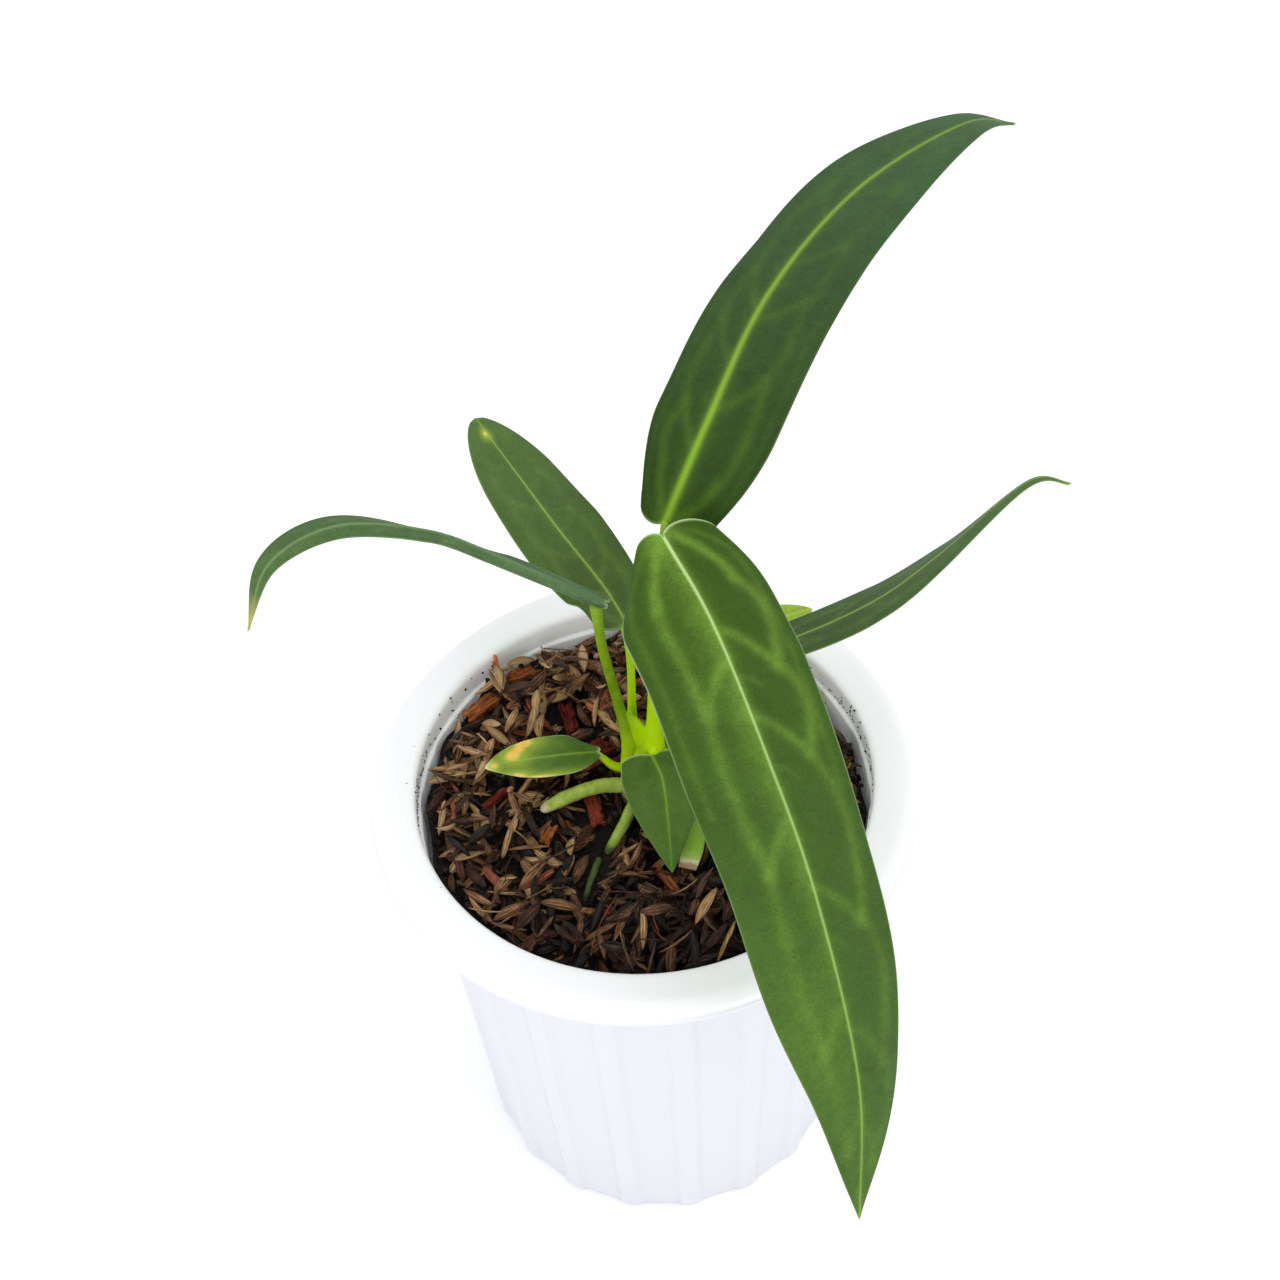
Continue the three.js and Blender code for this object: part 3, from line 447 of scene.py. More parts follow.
CHIPS = [
    dict(at=(-38.6, 30.4, 117.6), size=(12, 4.6, 1.6), turn=36, tilt=-8),
    dict(at=(-17, 27, 114.4), size=(12, 4.4, 1.8), turn=-80, tilt=0),
    dict(at=(-12.4, 0, 113.9), size=(15, 4.6, 1.6), turn=-80, tilt=0),
    dict(at=(-10.5, 17.6, 114.2), size=(9, 5.5, 2), turn=30, tilt=8),
    dict(at=(-36, 4.5, 114.6), size=(13, 2.4, 1.6), turn=42, tilt=0),
    dict(at=(43.6, 20, 114.8), size=(7.5, 5, 1.6), turn=45, tilt=-10),
    dict(at=(-23.6, -7, 114.6), size=(7, 3, 1.6), turn=65, tilt=0),
    dict(at=(-27.8, 40.4, 117.4), size=(10, 4, 1.6), turn=22, tilt=6),
]

# Chips: fibres of one and points along each, how much further one fibre is torn back than the next
# and how far at most, depth of the nicks in its sides, step from fibre to fibre and roughness along
# one as shares of the thickness, least and greatest half thickness, the width left of a red one,
# and the width of a streak.
CHIP_FIBRES = 16
CHIP_STATIONS = 30
CHIP_TORN = 0.14
CHIP_TORN_STEP = 0.13
CHIP_LEAST = 0.55
CHIP_NICKS = 0.15
CHIP_STEP = 0.09
CHIP_ROUGH = 0.05
CHIP_UNDER_ROUGH = 0.06
CHIP_HALF = (0.25, 0.75)
RED_CHIP_WIDTH = 0.85
CHIP_STREAK = 0.45

# Colours of the stem by its cork, and of the cut leaf by the share of its length; height of the
# knobs on the roots and length of their rounded end.
STEM_STOPS = [(0.3, "55602c"), (0.5, "7d8548"), (0.7, "a69a72")]
CUT_LEAF_STOPS = [(0.0, "7cac26"), (0.86, "82b02c"), (0.94, "a4c05a"), (0.975, "dcd6b0"), (1.0, "a98d66")]
ROOT_KNOBS = 0.03
ROOT_END_ROUND = 1.8

# Crown: how much smaller its middle is than the solid, a new leaf's tip that stands in it, the
# length of stalk that melts into it, the web of sheath from the left to the front stalk (how high
# it reaches, by the share of the way, and half its thickness), where the left stalk's darker green
# ends, and how finely the skin is melted.
CROWN_SHRINK = 0.93
CROWN_BODY_TOP = 126
CROWN_SIDES = 40
CROWN_TIP = [(2.6, 5.8, 126.5), (2.9, 5.2, 128), (3.0, 4.9, 129.3)]
CROWN_TIP_RADII = [0.6, 1.5, 0.5]
SHEATH_LENGTH = 14
LEAST_SHEATH_FLARE = 0.7
WEB_TOP = [(0, 19.5), (0.4, 17.5), (0.68, 14.5), (0.8, 14.5), (1, 19)]
WEB_HALF = 0.55
DARK_SHEATH = -4.5
BRIGHT_SHEATH = 1.0
MELT_GRID = 0.24


# Colour, nodes and meshes


def linear(colour):
    """An sRGB hex colour as linear red, green, blue and alpha."""
    parts = [int(colour[k:k + 2], 16) / 255 for k in (0, 2, 4)]
    return [c / 12.92 if c <= 0.04045 else ((c + 0.055) / 1.055) ** 2.4 for c in parts] + [1.0]


def feed(node, inputs):
    """Set a node's inputs: a socket is linked, a hex colour or a number is set as it is."""
    for name, source in inputs.items():
        socket = node.inputs[name]
        if isinstance(source, bpy.types.NodeSocket):
            node.id_data.links.new(source, socket)
        else:
            socket.default_value = linear(source) if isinstance(source, str) else source


def add(tree, kind, inputs=None, out=0, stops=(), **settings):
    """Add a shader node with its inputs, ramp stops and settings; gives one of its outputs."""
    node = tree.nodes.new("ShaderNode" + kind)
    for name, setting in settings.items():
        setattr(node, name, setting)
    feed(node, inputs or {})
    if stops:
        elements = node.color_ramp.elements
        while len(elements) < len(stops):
            elements.new(1.0)
        for element, (place, colour) in zip(elements, stops):
            element.position = place
            element.color = linear(colour)
    return node.outputs[out]


def new_material(name, **values):
    """A material, its node tree, its shader and the place on the object; values are the shader's."""
    material = bpy.data.materials.new(name)
    material.use_nodes = True
    tree = material.node_tree
    shader = tree.nodes["Principled BSDF"]
    feed(shader, {socket.replace("_", " "): value for socket, value in values.items()})
    return material, tree, shader, add(tree, "TexCoord", out="Object")


def painted(tree, colour, coats):
    """A colour under coats, each a colour and the share that it covers, as hex colours or sockets."""
    for coat, share in coats:
        colour = add(tree, "Mix", {0: share, 6: colour, 7: coat}, out=2, data_type="RGBA")
    return colour


def scale_of(size):
    """Scale of a pattern whose spots are this many millimetres across."""
    return 1 / (size * MM)


def make_piece(name, points, faces, slot, material, values=None, smooth=True):
    """A mesh piece from points in millimetres; values are named numbers for its points."""
    mesh = bpy.data.meshes.new(name)
    mesh.from_pydata((np.asarray(points, float) * MM).tolist(), [], faces)
    for key, numbers in (values or {}).items():
        spread = np.broadcast_to(np.asarray(numbers, np.float32), (len(mesh.vertices),))
        mesh.attributes.new(key, "FLOAT", "POINT").data.foreach_set("value", np.ascontiguousarray(spread))
    if smooth:
        mesh.shade_smooth()
    mesh.validate()
    mesh.materials.append(material)
    piece = bpy.data.objects.new(name, mesh)
    bpy.context.collection.objects.link(piece)
    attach(piece, "root")
    return piece


def joined(shapes):
    """Points and faces of several shapes as one."""
    points, faces, start = [], [], 0
    for some_points, some_faces in shapes:
        points.append(some_points)
        faces += [tuple(start + corner for corner in face) for face in some_faces]
        start += len(some_points)
    return np.vstack(points), faces


def apply_modifiers(piece):
    """Fix a piece's modifiers in its mesh."""
    done = piece.evaluated_get(bpy.context.evaluated_depsgraph_get())
    mesh = bpy.data.meshes.new_from_object(done)
    piece.modifiers.clear()
    piece.data = mesh


def round_turn(sides):
    """Angles of equal steps round a ring."""
    return np.arange(sides) / sides * 2 * math.pi


def read_line(places, known, line):
    """Points of a line at places along it, from its points at known places."""
    return np.stack([np.interp(places, known, line[:, k]) for k in range(3)], -1)


def along_curve(points, shares):
    """Points at shares of the length of a smooth curve through the points, and its length."""
    p = np.asarray(points, float)
    q = np.vstack([2 * p[0] - p[1], p, 2 * p[-1] - p[-2]])
    x = np.linspace(0, 1, CURVE_STEPS + 1) * (len(p) - 1)
    i = np.minimum(x.astype(int), len(p) - 2)
    w = (x - i)[:, None]
    a, b, c, d = q[i], q[i + 1], q[i + 2], q[i + 3]
    dense = 0.5 * (2 * b + (c - a) * w + (2 * a - 5 * b + 4 * c - d) * w ** 2
                   + (3 * b - a - 3 * c + d) * w ** 3)
    run = np.concatenate([[0], np.cumsum(np.linalg.norm(np.diff(dense, axis=0), axis=1))])
    return read_line(np.asarray(shares, float), run / run[-1], dense), run[-1]


def between(values, share):
    """Values spread evenly along a piece, read at a share of its length."""
    return np.interp(share, np.linspace(0, 1, len(values)), values)


def unit(vectors):
    """Vectors made one long."""
    return vectors / np.maximum(np.linalg.norm(vectors, axis=-1, keepdims=True), 1e-12)


def ring_frames(centres):
    """Two steady cross directions at each point of a path."""
    tangents = unit(np.gradient(centres, axis=0))
    normal = unit(np.cross(tangents[0], [0.3, 0.9, 0.2]))
    normals = []
    for tangent in tangents:
        normal = unit(normal - (normal @ tangent) * tangent)
        normals.append(normal)
    return np.array(normals), np.cross(tangents, np.array(normals))


def rings_along(centres, across, up, wide, high):
    """Rings round a path, from how far each of their points stands across and up."""
    return centres[:, None] + across[:, None] * wide[..., None] + up[:, None] * high[..., None]


def skin(rings):
    """Faces over rings of points (rings, sides, 3), with a middle point closing either end."""
    count, sides = rings.shape[:2]
    points = np.vstack([rings.reshape(-1, 3), rings[0].mean(0), rings[-1].mean(0)])
    first, last = count * sides, count * sides + 1
    k = np.arange(sides)
    following = (k + 1) % sides
    r = np.arange(count - 1)[:, None] * sides
    quads = np.stack([r + k, r + following, r + sides + following, r + sides + k], -1).reshape(-1, 4)
    top = (count - 1) * sides
    caps = [(first, b, a) for a, b in zip(k.tolist(), following.tolist())]
    caps += [(last, top + a, top + b) for a, b in zip(k.tolist(), following.tolist())]
    return points, quads.tolist() + caps


def tube(path, radii, sides, steps, shape=None, end_round=0.0):
    """A round stalk: points, faces, share of the length and place round it for each point.

    shape(share, turn, length) adds to the radius; end_round is the length over which the far end
    closes to a dome.
    """
    share = np.linspace(0, 1, steps + 1)
    centres, length = along_curve(path, share)
    turn = round_turn(sides)
    radius = between(radii, share)[:, None] + np.zeros(sides)
    if shape:
        radius = radius + shape(share[:, None], turn[None, :], length)
    if end_round:
        left = np.clip((1 - share) * length / end_round, 0, 1)
        radius = radius * np.sqrt(np.clip(1 - (1 - left) ** 2, 0.0025, 1))[:, None]
    across, up = ring_frames(centres)
    points, faces = skin(rings_along(centres, across, up, radius * np.cos(turn), radius * np.sin(turn)))
    shares = np.concatenate([np.repeat(share, sides), [0, 1]])
    turns = np.concatenate([np.tile(turn / (2 * math.pi), steps + 1), [0, 0]])
    return points, faces, shares, turns


# Camera, light and floor


def make_camera():
    """The photograph's camera, from the rim's middle in the picture and the way it looks down."""
    focal = LENS_MM / SENSOR_MM * PICTURE
    back = Vector((0, -math.cos(CAMERA_ELEVATION), math.sin(CAMERA_ELEVATION)))
    right = Vector((1, 0, 0))
    upright = Matrix((right, back.cross(right), back))
    roll = Matrix.Rotation(CAMERA_ROLL, 3, "Z")
    u, v = RIM_MIDDLE_PIXEL
    sight = Vector(((u - PICTURE / 2) / focal, (PICTURE / 2 - v) / focal, -1))
    aim = Vector((0, 0, -1)).rotation_difference(sight).to_matrix()
    turned = (aim @ roll @ upright).transposed().to_4x4()
    place = Vector((0, 0, RIM_MIDDLE_HEIGHT)) + CAMERA_DISTANCE * back
    data = bpy.data.cameras.new("camera")
    data.lens = LENS_MM
    data.sensor_width = SENSOR_MM
    data.clip_start = NEAREST_SEEN * MM
    camera = bpy.data.objects.new("camera", data)
    camera.matrix_world = Matrix.Translation(place * MM) @ turned
    bpy.context.collection.objects.link(camera)
    bpy.context.scene.camera = camera


def make_light():
    """A white room with a large soft lamp high at the right and a weaker one low in front."""
    world = bpy.data.worlds.new("white_room")
    world.use_nodes = True
    feed(world.node_tree.nodes["Background"], {"Color": ROOM_WHITE, "Strength": ROOM_STRENGTH})
    bpy.context.scene.world = world
    for name, place, size, power in LAMPS:
        data = bpy.data.lights.new(name, "AREA")
        data.size = size * MM
        data.energy = power
        lamp = bpy.data.objects.new(name, data)
        lamp.location = Vector(place) * MM
        aim = Vector(LAMP_AIM) - Vector(place)
        lamp.rotation_euler = aim.to_track_quat("-Z", "Y").to_euler()
        bpy.context.collection.objects.link(lamp)
    bpy.context.scene.view_settings.view_transform = "Standard"


def make_floor():
    """Matt white paint under the pot, wide enough to fill the picture."""
    material, *_ = new_material("floor_paint", Base_Color="fbfcfe", Roughness=0.9, Specular_IOR_Level=0.1)
    mesh = bpy.data.meshes.new("floor")
    reach = FLOOR_REACH * MM
    mesh.from_pydata([(-reach, -reach, 0), (reach, -reach, 0), (reach, reach, 0), (-reach, reach, 0)],
                     [], [(0, 1, 2, 3)])
    floor = bpy.data.objects.new("floor", mesh)
    floor.data.materials.append(material)
    bpy.context.collection.objects.link(floor)


# Pot


def inner_radius(height):
    """Radius of the inside of the wall at a height, on a ridge."""
    share = (height - POT_FLOOR) / (POT_HEIGHT - STEP_DROP - POT_FLOOR)
    return POT_BASE_RADIUS + (POT_TOP_RADIUS - POT_BASE_RADIUS) * share - POT_WALL


def pot_plastic():
    """Injection-moulded polypropylene, white: a soft gloss with a faint sink-mark unevenness.

    The light that scatters in it softens its edges. Its inside, and partway its rim's crest, are
    painted paler than its outside: painted light that lifts the shade inside the rim.
    """
    material, tree, shader, place = new_material(
        "moulded_white_polypropylene", IOR=1.49, Subsurface_Weight=0.25,
        Subsurface_Radius=(1.0, 1.0, 1.0), Subsurface_Scale=PLASTIC_SCATTER * MM)
    inner = add(tree, "Attribute", out="Fac", attribute_name="inner")
    sinks = add(tree, "TexNoise", {"Vector": place, "Scale": scale_of(SINK_MARK), "Detail": 3.0})
    grain = add(tree, "TexNoise", {"Vector": place, "Scale": scale_of(MOULD_GRAIN), "Detail": 2.0})
    feed(shader, {
        "Base Color": painted(tree, "d1d2d6", [("d5d6da", sinks), ("fafbfb", inner)]),
        "Roughness": add(tree, "MapRange", {"Value": sinks, "To Min": 0.28, "To Max": 0.42}),
        "Normal": add(tree, "Bump", {"Strength": 0.06, "Distance": 0.2 * MM, "Height": grain}),
    })
    return material


def rounded(corners, reach):
    """A profile with its corners rounded; a corner is (radius, height, share of flute, reach scale)."""
    out = [corners[0][:3]]
    for before, here, after in zip(corners, corners[1:], corners[2:]):
        a, b, c = (np.array(p[:3], float) for p in (before, here, after))
        size = reach * (here[3] if len(here) > 3 else 1.0)
        one, two = (b + (end - b) * min(LARGEST_ROUNDING, size / max(np.linalg.norm((end - b)[:2]), 1e-6))
                    for end in (a, c))
        for t in np.linspace(0, 1, ROUNDING_STEPS):
            out.append((1 - t) ** 2 * one + 2 * t * (1 - t) * b + t ** 2 * two)
    out.append(corners[-1][:3])
    return np.array(out, float)


def pot_corners():
    """Corners of the pot's profile: out along the underside, up the wall, over the rim and back in."""
    step, lip, under = POT_HEIGHT - STEP_DROP, POT_HEIGHT - RIM_DROP, POT_HEIGHT - RIM_PLATE
    neck, skirt = STEP_RADIUS + NECK_WALL, RIM_RADIUS - RIM_WALL
    drained = DRAIN_CIRCLE + DRAIN_RADIUS + DRAIN_LAND
    wall_heights = np.linspace(FOOT_RISE + 0.2, step - WALL_TOP_DROP - 0.6, 5)[1:-1]
    wall_radii = np.interp(wall_heights, [FOOT_RISE, step - WALL_TOP_DROP], [POT_BASE_RADIUS, POT_TOP_RADIUS])
    return [
        (0.0, 0, 0), (drained, 0, 0), (POT_BASE_RADIUS - FOOT_INSET, 0, 0.8), (POT_BASE_RADIUS, FOOT_RISE, 1),
        *((radius, height, 1) for radius, height in zip(wall_radii, wall_heights)),
        (POT_TOP_RADIUS, step - WALL_TOP_DROP, 1), (neck, step + 0.8, 0), (neck, under, 0),
        (skirt, under - 0.5, 0), (skirt, lip, 0, 0.5), (RIM_RADIUS, lip, 0, 0.6),
        (RIM_RADIUS, lip + BEAD_HEIGHT, 0, 0.5), (RIM_RADIUS - BEAD_DEPTH, lip + BEAD_HEIGHT + 0.4, 0, 0.5),
        (RIM_RADIUS - 0.35, POT_HEIGHT - 2.6, 0, 2.0), (RIM_RADIUS - 2.4, POT_HEIGHT - 0.35, 0, 3.0),
        (RIM_CREST_RADIUS, POT_HEIGHT, 0, 3.0), (STEP_RADIUS - 0.2, POT_HEIGHT - 0.1, 0, 2.4),
        (STEP_RADIUS, step, 0, 0.5), (inner_radius(step) - 0.1, step - 0.3, 0.3, 0.5),
        (inner_radius(BED_HEIGHT - 6), BED_HEIGHT - 6, 0.3), (inner_radius(POT_FLOOR), POT_FLOOR, 1),
        (drained, POT_FLOOR, 0), (0.0, POT_FLOOR, 0)]


def make_pot():
    """The pot turned from its profile, with hollow flutes between its ridges."""
    body = rounded(pot_corners(), EDGE_ROUNDING)[1:-1]
    half_flute = np.array(FLUTE_PLACES)
    places = np.concatenate([half_flute, 1 - half_flute[-2:0:-1]])
    segments = FLUTES * len(places)
    part = np.tile(places, FLUTES)
    turn = (np.repeat(np.arange(FLUTES), len(places)) + part) / FLUTES * 2 * math.pi
    turn = turn - math.pi / 2 + math.radians(FIRST_RIDGE_DEGREES)
    off_ridge = np.clip((np.minimum(part, 1 - part) - RIDGE_TOP) / RIDGE_FLANK, 0, 1)
    flank = off_ridge ** 2 * (3 - 2 * off_ridge)
    hollow = FLUTE_DEPTH * (0.2 * np.sin(part * math.pi) + 0.8 * flank)
    radius = body[:, 0][None, :] - hollow[:, None] * body[:, 2][None, :]
    x, y = radius * np.cos(turn)[:, None], radius * np.sin(turn)[:, None]
    z = np.broadcast_to(body[:, 1], x.shape)
    rows = len(body)
    points = np.vstack([np.stack([x, y, z], -1).reshape(-1, 3), [0, 0, 0], [0, 0, POT_FLOOR]])
    low, high = segments * rows, segments * rows + 1
    here = np.arange(segments)[:, None] * rows
    there = ((np.arange(segments) + 1) % segments)[:, None] * rows
    r = np.arange(rows - 1)
    faces = np.stack([here + r, there + r, there + r + 1, here + r + 1], -1).reshape(-1, 4).tolist()
    for a, b in zip(here[:, 0].tolist(), there[:, 0].tolist()):
        faces.append((low, b, a))
        faces.append((high, a + rows - 1, b + rows - 1))
    crest = int(np.argmax(body[:, 1] >= POT_HEIGHT - 0.05))
    # Painted light: the inside is painted paler than the outer wall, and the rim's crest partway.
    over_lip = np.clip((body[:, 1] - POT_HEIGHT + RIM_DROP) / 2.0, 0, 1) * RIM_PAINTED_LIGHT_SHARE
    past_crest = RIM_PAINTED_LIGHT_SHARE + np.clip((POT_HEIGHT - body[:, 1]) / 2.0, 0, 1) * (1 - RIM_PAINTED_LIGHT_SHARE)
    inner = np.where(np.arange(rows) > crest, past_crest, over_lip)
    inner = np.concatenate([np.tile(inner, segments), [0, 1]])
    pot = make_piece("pot_shell", points, faces, "pot_plastic", pot_plastic(), {"inner": inner})
    drill_drains(pot)
    for polygon in pot.data.polygons:
        polygon.use_smooth = True
    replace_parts(pot, "pot")


def drill_drains(pot):
    """Cut the drain holes through the floor."""
    turn = round_turn(DRAIN_SIDES)
    drills = []
    for middle in round_turn(DRAIN_HOLES):
        x = DRAIN_CIRCLE * math.cos(middle) + DRAIN_RADIUS * np.cos(turn)
        y = DRAIN_CIRCLE * math.sin(middle) + DRAIN_RADIUS * np.sin(turn)
        drills.append(skin(np.stack([np.stack([x, y, np.full(DRAIN_SIDES, z)], -1)
                                     for z in (-DRILL_OVER, POT_FLOOR + DRILL_OVER)])))
    points, faces = joined(drills)
    mesh = bpy.data.meshes.new("drills")
    mesh.from_pydata((points * MM).tolist(), [], faces)
    drill = bpy.data.objects.new("drills", mesh)
    bpy.context.collection.objects.link(drill)
    cut = pot.modifiers.new("drains", "BOOLEAN")
    cut.object = drill
    cut.operation = "DIFFERENCE"
    cut.solver = "EXACT"
    apply_modifiers(pot)
    bpy.data.objects.remove(drill)


make_camera()
make_light()
make_floor()
make_pot()


# Mix


def damp_peat():
    """Damp peat and rotted bark, crumbly and dull; near black, partly painted shade for the gaps between the
    husks.
    """
    material, tree, shader, place = new_material("damp_peat_near_black_gap_shade", Roughness=0.85,
                                                 Specular_IOR_Level=0.35)
    crumb = add(tree, "TexNoise", {"Vector": place, "Scale": scale_of(PEAT_CRUMB), "Detail": 6.0,
                                   "Roughness": 0.7})
    feed(shader, {
        "Base Color": add(tree, "ValToRGB", {"Fac": crumb}, stops=PEAT_STOPS),
        "Normal": add(tree, "Bump", {"Strength": 0.8, "Distance": 0.8 * MM, "Height": crumb}),
    })
    return material


def plant_litter(name, stops, streak, roughness, ridge):
    """Dry plant litter: each piece has its own shade, long streaks and, on a husk, fine ridges.

    grain and length are the millimetres across and along a piece, tone is its shade; streak is the
    width of a streak and ridge the strength of the ridges.
    """
    material, tree, shader, place = new_material(name, Roughness=roughness, Specular_IOR_Level=0.25)
    tone, grain, length = (add(tree, "Attribute", out="Fac", attribute_name=key)
                           for key in ("tone", "grain", "length"))
    spread = add(tree, "CombineXYZ", {"X": grain, "Y": length, "Z": tone})
    stretched = add(tree, "Mapping", {"Vector": spread,
                                      "Scale": (1 / streak, STREAK_STRETCH / streak, STREAK_CHANGE)})
    streaks = add(tree, "TexNoise", {"Vector": stretched, "Scale": 1.0, "Detail": 4.0, "Roughness": 0.7})
    patches = add(tree, "TexNoise", {"Vector": place, "Scale": scale_of(LITTER_PATCH), "Detail": 4.0,
                                     "Roughness": 0.65})
    turns = add(tree, "Math", {0: grain, 1: 2 * math.pi / RIDGE_PITCH}, operation="MULTIPLY")
    ridges = add(tree, "Math", {0: turns}, operation="SINE")
    shade = tone
    for pattern, amount in ((streaks, 1.5), (patches, 0.7), (ridges, ridge)):
        shade = add(tree, "Math", {0: pattern, 1: amount, 2: shade}, operation="MULTIPLY_ADD")
    centred = add(tree, "Math", {0: shade, 1: 1.06}, operation="SUBTRACT")
    height = add(tree, "Math", {0: ridges, 1: 2 * ridge, 2: streaks}, operation="MULTIPLY_ADD")
    feed(shader, {
        "Base Color": add(tree, "ValToRGB", {"Fac": centred}, stops=stops),
        "Normal": add(tree, "Bump", {"Strength": 0.8, "Distance": 0.4 * MM, "Height": height}),
    })
    return material


def bed_height(x, y):
    """Uneven top of the bed under the husks, heaped against the wall at the back left."""
    broad = np.sin(x / 6.1 + 0.7) * np.cos(y / 7.3)
    towards_heap = np.maximum(0, np.cos(np.arctan2(y, x) - math.radians(HEAP_DEGREES)))
    heap = HEAP_RISE * towards_heap * (np.hypot(x, y) / inner_radius(BED_HEIGHT)) ** 5
    return BED_HEIGHT + BED_BUMP * (broad + 0.5 * np.sin((x - y) / 4.7)) + heap


def make_bed(peat, random):
    """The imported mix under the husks: a crumbly top on a plain drum."""
    turn = round_turn(BED_SIDES)
    share = np.linspace(0.004, 1, BED_RINGS)
    radius = (inner_radius(BED_HEIGHT) - BED_GAP) * share[:, None] + np.zeros(BED_SIDES)
    phase = (turn * FLUTES / (2 * math.pi) + (90 - FIRST_RIDGE_DEGREES) / 360 * FLUTES) % 1
    radius = radius - share[:, None] ** 8 * FLUTE_DEPTH * np.sin(phase * math.pi)
    x, y = radius * np.cos(turn), radius * np.sin(turn)
    z = bed_height(x, y) + random.normal(0, BED_CRUMB, x.shape)
    top = np.stack([x, y, z], -1)[::-1]
    wall = top[0].copy()
    wall[:, 2] = BED_LOW
    points, faces = skin(np.concatenate([wall[None], top]))
    return make_piece("mix_bed", points, faces, "potting_mix", peat, smooth=False)


class Heap:
    """Pieces of litter laid one after another, each on what lies below it."""

    # Size of a cell of the height map, the way to the camera, where a piece is felt beside its middle
    # line, how far its two halves are apart, how far it rises as it leans and how far it keeps from a
    # barred and from a shown place, as shares of its width or length.
    CELL = 0.5
    SIGHT = np.array([0, -math.cos(CAMERA_ELEVATION), math.sin(CAMERA_ELEVATION)])
    SIDE = 0.33
    HALVES_APART = 0.55
    LEAN_RISE = 0.2
    BARRED_ROOM = 0.3
    SHOWN_ROOM = 0.25

    def __init__(self, reach, barred, shown):
        self.reach = reach
        self.barred = barred
        self.shown = shown
        count = int(2 * reach / self.CELL) + 3
        axis = -reach + np.arange(count) * self.CELL
        self.height = bed_height(axis[:, None], axis[None, :])
        for chip in CHIPS:
            length, width, thickness = chip["size"]
            x, y, z = chip["at"]
            turn = math.radians(chip["turn"])
            t, v = (side.ravel() for side in np.meshgrid(np.linspace(-0.5, 0.5, 40) * length,
                                                         np.linspace(-0.5, 0.5, 16) * width))
            i, j = self.cells(x + t * math.cos(turn) - v * math.sin(turn),
                              y + t * math.sin(turn) + v * math.cos(turn))
            top = z - math.tan(math.radians(chip["tilt"])) * t + 0.4 * thickness
            self.height[i, j] = np.maximum(self.height[i, j], top)

    def hides(self, middle, width):
        """Whether a piece would lie over something that the photograph shows."""
        away = middle[:, None] - self.shown[None, :, :3]
        depth = away @ self.SIGHT
        beside = np.sqrt(np.maximum(0, (away ** 2).sum(-1) - depth ** 2))
        return ((depth > -HIDING_DEPTH) & (beside < self.shown[None, :, 3] + self.SHOWN_ROOM * width)).any()

    def cells(self, x, y):
        """Cells of the height map at places."""
        limit = len(self.height) - 1
        return (np.clip(((place + self.reach) / self.CELL + 0.5).astype(int), 0, limit) for place in (x, y))

    def lay(self, x, y, turn, size, sink, pitch, roll):
        """Lay a piece down; gives its height, slope and lean, or None where it can't lie.

        sink is the share of its thickness that goes into what is below; pitch and roll tilt it
        more than what it lies on does.
        """
        length, width, thickness = size
        t = np.linspace(-0.5, 0.5, 9)[:, None] * length
        v = np.array([-self.SIDE, 0, self.SIDE])[None, :] * width
        px = x + t * math.cos(turn) - v * math.sin(turn)
        py = y + t * math.sin(turn) + v * math.cos(turn)
        if np.hypot(px, py).max() > self.reach:
            return None
        i, j = self.cells(px, py)
        below = self.height[i, j]
        line = below.max(1)
        slope = (line[5:].max() - line[:4].max()) / (self.HALVES_APART * length) + pitch
        slope = np.clip(slope, -MAX_SLOPE, MAX_SLOPE)
        lean = (below[:, 2].mean() - below[:, 0].mean()) / (2 * self.SIDE * width) + roll
        lean = np.clip(lean, -MAX_LEAN, MAX_LEAN)
        plane = slope * t[:, 0]
        z = np.sort(line - plane)[-2] + thickness * (0.5 - sink) + self.LEAN_RISE * width * abs(lean)
        middle = np.stack([px[:, 1], py[:, 1], z + plane], -1)
        gaps = np.linalg.norm(middle[:, None] - self.barred[None, :, :3], axis=2) - self.barred[None, :, 3]
        if gaps.min() < width * self.BARRED_ROOM or self.hides(middle, width):
            return None
        taper = 1 - np.abs(t[:, 0] / length * 2) ** 2
        top = z + plane + thickness * 0.5 * taper
        self.height[i, j] = np.maximum(self.height[i, j], top[:, None])
        return z, slope, lean


def lie(points, x, y, z, turn, slope, lean):
    """Turn a piece's own points (long side X) to lie at a place with a slope and a lean."""
    pitch, roll = math.atan(slope), math.atan(lean)
    along = np.array([math.cos(turn) * math.cos(pitch), math.sin(turn) * math.cos(pitch), math.sin(pitch)])
    flat = np.array([-math.sin(turn), math.cos(turn), 0])
    up = np.cross(along, flat)
    across = flat * math.cos(roll) + up * math.sin(roll)
    up = np.cross(along, across)
    return np.array([x, y, z]) + points @ np.array([along, across, up])


